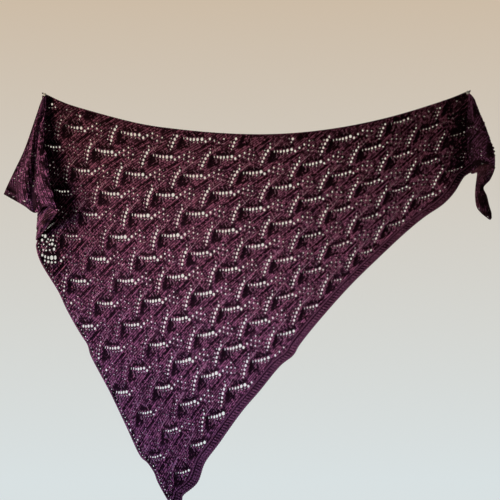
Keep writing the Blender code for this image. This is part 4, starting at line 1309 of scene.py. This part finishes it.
class KnitSettings(bpy.types.PropertyGroup):
    sheet_mm: FloatProperty(name="Sheet", description="Thickness under the stitches, mm", default=1.3)
    leg_width_mm: FloatProperty(name="Leg width", description="Yarn width, mm", default=1.85)
    leg_height_mm: FloatProperty(name="Leg height", description="Yarn height, mm", default=2.0)
    band_mm: FloatProperty(name="Band", description="Plain knit under the top edge, mm", default=12.0)
    relief: FloatProperty(name="Relief", description="Share of the motif's own rise", default=1.0,
                          subtype="FACTOR")
    edge_mm: FloatProperty(name="Edge", description="Plain cloth kept along an edge, mm", default=2.6)
    rib_pitch_mm: FloatProperty(name="Rib pitch", description="From one border rib to the next, mm",
                                default=7.6)


class ColourSettings(bpy.types.PropertyGroup):
    """The darkest and the lightest colour of the yarn on each piece and of the pins' heads. The shawl is one
    yarn: the lighter and darker copies for the border, the flaps, the turned layer, the tail and the floating
    yarns are painted light and painted shade, the dark sheets between the stitches are painted shade, and the
    wrong side's hollows and bumps are painted shade and painted light
    """
    stitches_dark: colour("Stitches, dark", "The main lace's stitches in shade", (0.010, 0.003, 0.006))
    stitches_light: colour("Stitches, light", "The main lace's stitches in light", (0.370, 0.117, 0.216))
    # The sheets between the stitches are dark as painted shade between them
    between_dark: colour("Between, dark", "Between those stitches, in shade", (0.005, 0.0015, 0.003))
    between_light: colour("Between, light", "Between those stitches, in light", (0.045, 0.014, 0.028))
    floating_dark: colour("Floats, dark", "The floating yarns in shade", (0.020, 0.007, 0.014))
    floating_light: colour("Floats, light", "The floating yarns in light", (0.540, 0.300, 0.400))
    border_dark: colour("Border, dark", "The border in shade", (0.006, 0.002, 0.004))
    border_light: colour("Border, light", "The border in light", (0.150, 0.050, 0.092))
    turned_dark: colour("Turned layer, dark", "The left turned layer in shade", (0.030, 0.012, 0.016))
    turned_light: colour("Turned layer, light", "The left turned layer in light", (0.260, 0.084, 0.180))
    turned_between_dark: colour("Turned between, dark", "Between its stitches", (0.005, 0.002, 0.004))
    turned_between_light: colour("Turned between, light", "Between its stitches", (0.045, 0.016, 0.030))
    flap_dark: colour("Left flap, dark", "The left flap in shade", (0.014, 0.005, 0.012))
    flap_light: colour("Left flap, light", "The left flap in light", (0.440, 0.145, 0.350))
    flap_between_dark: colour("Left flap between, dark", "Between its stitches", (0.006, 0.002, 0.004))
    flap_between_light: colour("Left flap between, light", "Between its stitches", (0.060, 0.022, 0.048))
    right_dark: colour("Right flap, dark", "The right flap in shade", (0.010, 0.004, 0.006))
    right_light: colour("Right flap, light", "The right flap in light", (0.280, 0.095, 0.225))
    right_between_dark: colour("Right flap between, dark", "Between its stitches", (0.005, 0.002, 0.004))
    right_between_light: colour("Right flap between, light", "Between its stitches", (0.045, 0.016, 0.030))
    tail_dark: colour("Tail, dark", "The corner's tail in shade", (0.025, 0.010, 0.014))
    tail_light: colour("Tail, light", "The corner's tail in light", (0.200, 0.066, 0.130))
    tail_between_dark: colour("Tail between, dark", "Between its stitches", (0.012, 0.004, 0.006))
    tail_between_light: colour("Tail between, light", "Between its stitches", (0.060, 0.022, 0.034))
    # Painted shade in the wrong side's hollows and painted light on its bumps
    reverse_dark: colour("Wrong side, dark", "Hollows of the wrong side", (0.012, 0.004, 0.007))
    reverse_light: colour("Wrong side, light", "Bumps of the wrong side", (0.200, 0.064, 0.118))
    head_dark: colour("Pin head, dark", "The clear plastic's haze", (0.62, 0.64, 0.66))
    head_light: colour("Pin head, light", "The clear plastic", (0.86, 0.87, 0.88))


class LightSettings(bpy.types.PropertyGroup):
    window_watts: FloatProperty(name="Window", description="Power of the cool light, low at the left",
                                default=4.5, unit="POWER")
    window_colour: colour("Window's colour", "Colour of that light", (0.548, 0.597, 1.0))
    lamp_watts: FloatProperty(name="Lamp", description="Power of the warm light, high at the left",
                              default=3.05, unit="POWER")
    lamp_colour: colour("Lamp's colour", "Colour of that light", (1.0, 0.849, 0.567))
    sky: FloatProperty(name="Sky", description="Strength of the pale surround", default=1.0)
    fill: FloatProperty(name="Fill", description="Share of the surround's light that comes from in front",
                        default=0.12, subtype="FACTOR")
    back: FloatProperty(name="Back", description="Times the surround's light is stronger behind", default=2.4)
    sky_low: colour("Sky, low", "The surround below", (0.69, 0.75, 0.76))
    sky_high: colour("Sky, high", "The surround above", (0.61, 0.50, 0.38))
    floor_dark: colour("Floor, dark", "The floor's darker grain", (0.90, 0.91, 0.92))
    floor_light: colour("Floor, light", "The floor's lighter grain", (0.93, 0.94, 0.95))


class CameraSettings(bpy.types.PropertyGroup):
    distance: FloatProperty(name="Distance", description="Camera to wall", default=7.0, unit="LENGTH")
    frame_pixels: IntProperty(name="Frame", description="Picture width in pixels", default=500,
                              subtype="PIXEL")


# Operators
class SHAWL_OT_main_lace(bpy.types.Operator):
    """The large lace triangle against the wall"""
    bl_idname = "shawl.main_lace"
    bl_label = "Main lace"

    def execute(self, context):
        settings = context.scene.shawl_knit
        colours = context.scene.shawl_colours
        places = main_outline()
        outline = hang(places)
        yarn = wool("stitches", colours)
        pins = [np.array(spot) for spot in PINS.values()]
        cloth = WallCloth()
        shell, stitches = build_lace_stretch(
            "main_lace_knit", cloth, outline, to_knit(places), wool("between", colours), yarn, LACE_REACH,
            settings, 5, pins, 3, bound_off_holes(), hang(smooth_line(TOP_EDGE, 60)))
        edges = [edge_along("bound_off_chain", cloth, BOUND_OFF_EDGE, yarn, 0.45),
                 # The selvage's yarn is kept dark as painted shade along the rolled top edge
                 edge_along("selvage", cloth, TOP_EDGE, yarn, 0.05),
                 floating_yarns("floating_yarns", cloth, outline, LACE_REACH, wool("floating", colours), 6)]
        finish_piece([shell, *stitches, *edges], ["main_lace"])
        return {"FINISHED"}


class SHAWL_OT_border(bpy.types.Operator):
    """The garter border with its ribs and two welts"""
    bl_idname = "shawl.border"
    bl_label = "Border"

    def execute(self, context):
        settings = context.scene.shawl_knit
        rng = np.random.default_rng(4)
        surface = wool("border", context.scene.shawl_colours)
        cloth = WallCloth()
        made, length = border_sheet(settings, surface, rng)
        outer, inner = border_edges(int(length / settings.rib_pitch_mm))
        ribs = border_ribs(cloth, inner, outer, surface, rng)
        chains = []
        for name, share, tone, width in BORDER_CHAINS:
            spots = hang(inner + share * (outer - inner))
            chains.append(edge_chain(name, cloth.world(spots, BORDER_CHAIN_LIFT), cloth.normal(spots),
                                     surface, tone, BORDER_CHAIN_PITCH, width))
        finish_piece([made, ribs, *chains], ["lower_border"])
        return {"FINISHED"}


class SHAWL_OT_left_corner(bpy.types.Operator):
    """The layer turned under at the left pin and the flap folded back over it"""
    bl_idname = "shawl.left_corner"
    bl_label = "Left corner"

    def execute(self, context):
        settings = context.scene.shawl_knit
        colours = context.scene.shawl_colours
        under, over = left_grids(60, 50)
        build_patch("left_turned_layer", under, (0, 0), -40, -1, wool("turned_between", colours),
                    wool("turned", colours), settings, 7)
        build_patch("left_corner_flap", over, (-3, 8), 40, 1, wool("flap_between", colours),
                    wool("flap", colours), settings, 8)
        return {"FINISHED"}


class SHAWL_OT_right_corner(bpy.types.Operator):
    """The right flap, the layer behind its fold, and the twisted corner under it"""
    bl_idname = "shawl.right_corner"
    bl_label = "Right corner"

    def execute(self, context):
        settings = context.scene.shawl_knit
        colours = context.scene.shawl_colours
        over, behind = right_grids(60, 40)
        surface = wool("right_between", colours)
        yarn = wool("right", colours)
        build_patch("right_corner_flap", over, (4, 4), 0, -1, surface, yarn, settings, 9)
        build_patch("right_turned_layer", behind, (2, 6), 60, -1, surface, yarn, settings, 10)
        yarn = wool("tail", colours)
        build_patch("corner_tail", tail_grid(over, 70), (5, 3), 20, -1, wool("tail_between", colours), yarn,
                    settings, 11)
        loops = np.array(EDGE_LOOPS)
        rows = np.array([(section.outer_z, section.outer_off) for section in RIGHT_FLAP])[::-1]
        heads = np.column_stack([loops[:, 0], -np.interp(loops[:, 1], rows[:, 0], rows[:, 1]), loops[:, 1]])
        made = beads("right_edge_loops", heads, EDGE_LOOP_SIZE, yarn, 0.15)
        finish_piece([made], [])
        return {"FINISHED"}


class SHAWL_OT_pins(bpy.types.Operator):
    """The two push pins"""
    bl_idname = "shawl.pins"
    bl_label = "Pins"

    def execute(self, context):
        surface = clear_plastic(context.scene.shawl_colours)
        for side in PINS:
            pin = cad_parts[f"{side}_pin"]
            pin.data.materials.clear()
            pin.data.materials.append(surface)
        return {"FINISHED"}


class SHAWL_OT_stage(bpy.types.Operator):
    """Floor, lights, surround and camera"""
    bl_idname = "shawl.stage"
    bl_label = "Stage"

    def execute(self, context):
        scene = context.scene
        lights = scene.shawl_lights
        camera = scene.shawl_camera
        bpy.ops.mesh.primitive_plane_add(size=FLOOR_SIZE, location=FLOOR_PLACE)
        floor = context.object
        floor.name = "floor"
        surface, _ = two_tone("pale_floor", 0.8, 3.0, lights.floor_dark, lights.floor_light)
        floor.data.materials.append(surface)
        floor.visible_diffuse = False
        for lamp in LAMPS:
            data = bpy.data.lights.new(lamp.name, "AREA")
            data.energy = getattr(lights, f"{lamp.name}_watts")
            data.color = getattr(lights, f"{lamp.name}_colour")
            data.size = lamp.size
            data.spread = math.radians(lamp.beam)
            made = bpy.data.objects.new(lamp.name, data)
            made.location = lamp.place
            aim = np.array((lamp.aim[0], 0.0, lamp.aim[1])) - np.array(lamp.place)
            tilt = math.acos(-aim[2] / np.linalg.norm(aim))
            made.rotation_euler = (tilt, 0, math.atan2(-aim[0], aim[1]))
            scene.collection.objects.link(made)
        surround(scene, lights)
        scene.view_settings.view_transform = "Standard"
        data = bpy.data.cameras.new("camera")
        half = camera.frame_pixels / 2
        data.lens = data.sensor_width * camera.distance / (camera.frame_pixels * PIXEL * MM)
        data.clip_end = 50
        made = bpy.data.objects.new("camera", data)
        right, down = LEFT_PIN_PIXEL
        made.location = ((half - right) * PIXEL * MM, -camera.distance, (down - half) * PIXEL * MM)
        made.rotation_euler = (math.radians(90), 0, 0)
        scene.collection.objects.link(made)
        scene.camera = made
        return {"FINISHED"}


class SHAWL_PT_panel(bpy.types.Panel):
    """Settings and steps of the shawl"""
    bl_idname = "SHAWL_PT_panel"
    bl_label = "Shawl"
    bl_space_type = "VIEW_3D"
    bl_region_type = "UI"
    bl_category = "Shawl"

    def draw(self, context):
        for group_name in SETTINGS:
            group = getattr(context.scene, group_name)
            for name in group.bl_rna.properties.keys():
                if name not in ("rna_type", "name"):
                    self.layout.prop(group, name)
        for step in STEPS:
            self.layout.operator(step.bl_idname)


STEPS = (SHAWL_OT_main_lace, SHAWL_OT_border, SHAWL_OT_left_corner, SHAWL_OT_right_corner, SHAWL_OT_pins,
         SHAWL_OT_stage)
SETTINGS = {"shawl_knit": KnitSettings, "shawl_colours": ColourSettings, "shawl_lights": LightSettings,
            "shawl_camera": CameraSettings}
CLASSES = (*SETTINGS.values(), *STEPS, SHAWL_PT_panel)


def register():
    for made in CLASSES:
        bpy.utils.register_class(made)
    for name, group in SETTINGS.items():
        setattr(bpy.types.Scene, name, PointerProperty(type=group))


def unregister():
    for name in SETTINGS:
        delattr(bpy.types.Scene, name)
    for made in reversed(CLASSES):
        bpy.utils.unregister_class(made)


def main():
    register()
    bpy.ops.shawl.main_lace()
    bpy.ops.shawl.border()
    bpy.ops.shawl.left_corner()
    bpy.ops.shawl.right_corner()
    bpy.ops.shawl.pins()
    bpy.ops.shawl.stage()


if __name__ == "__main__":
    main()
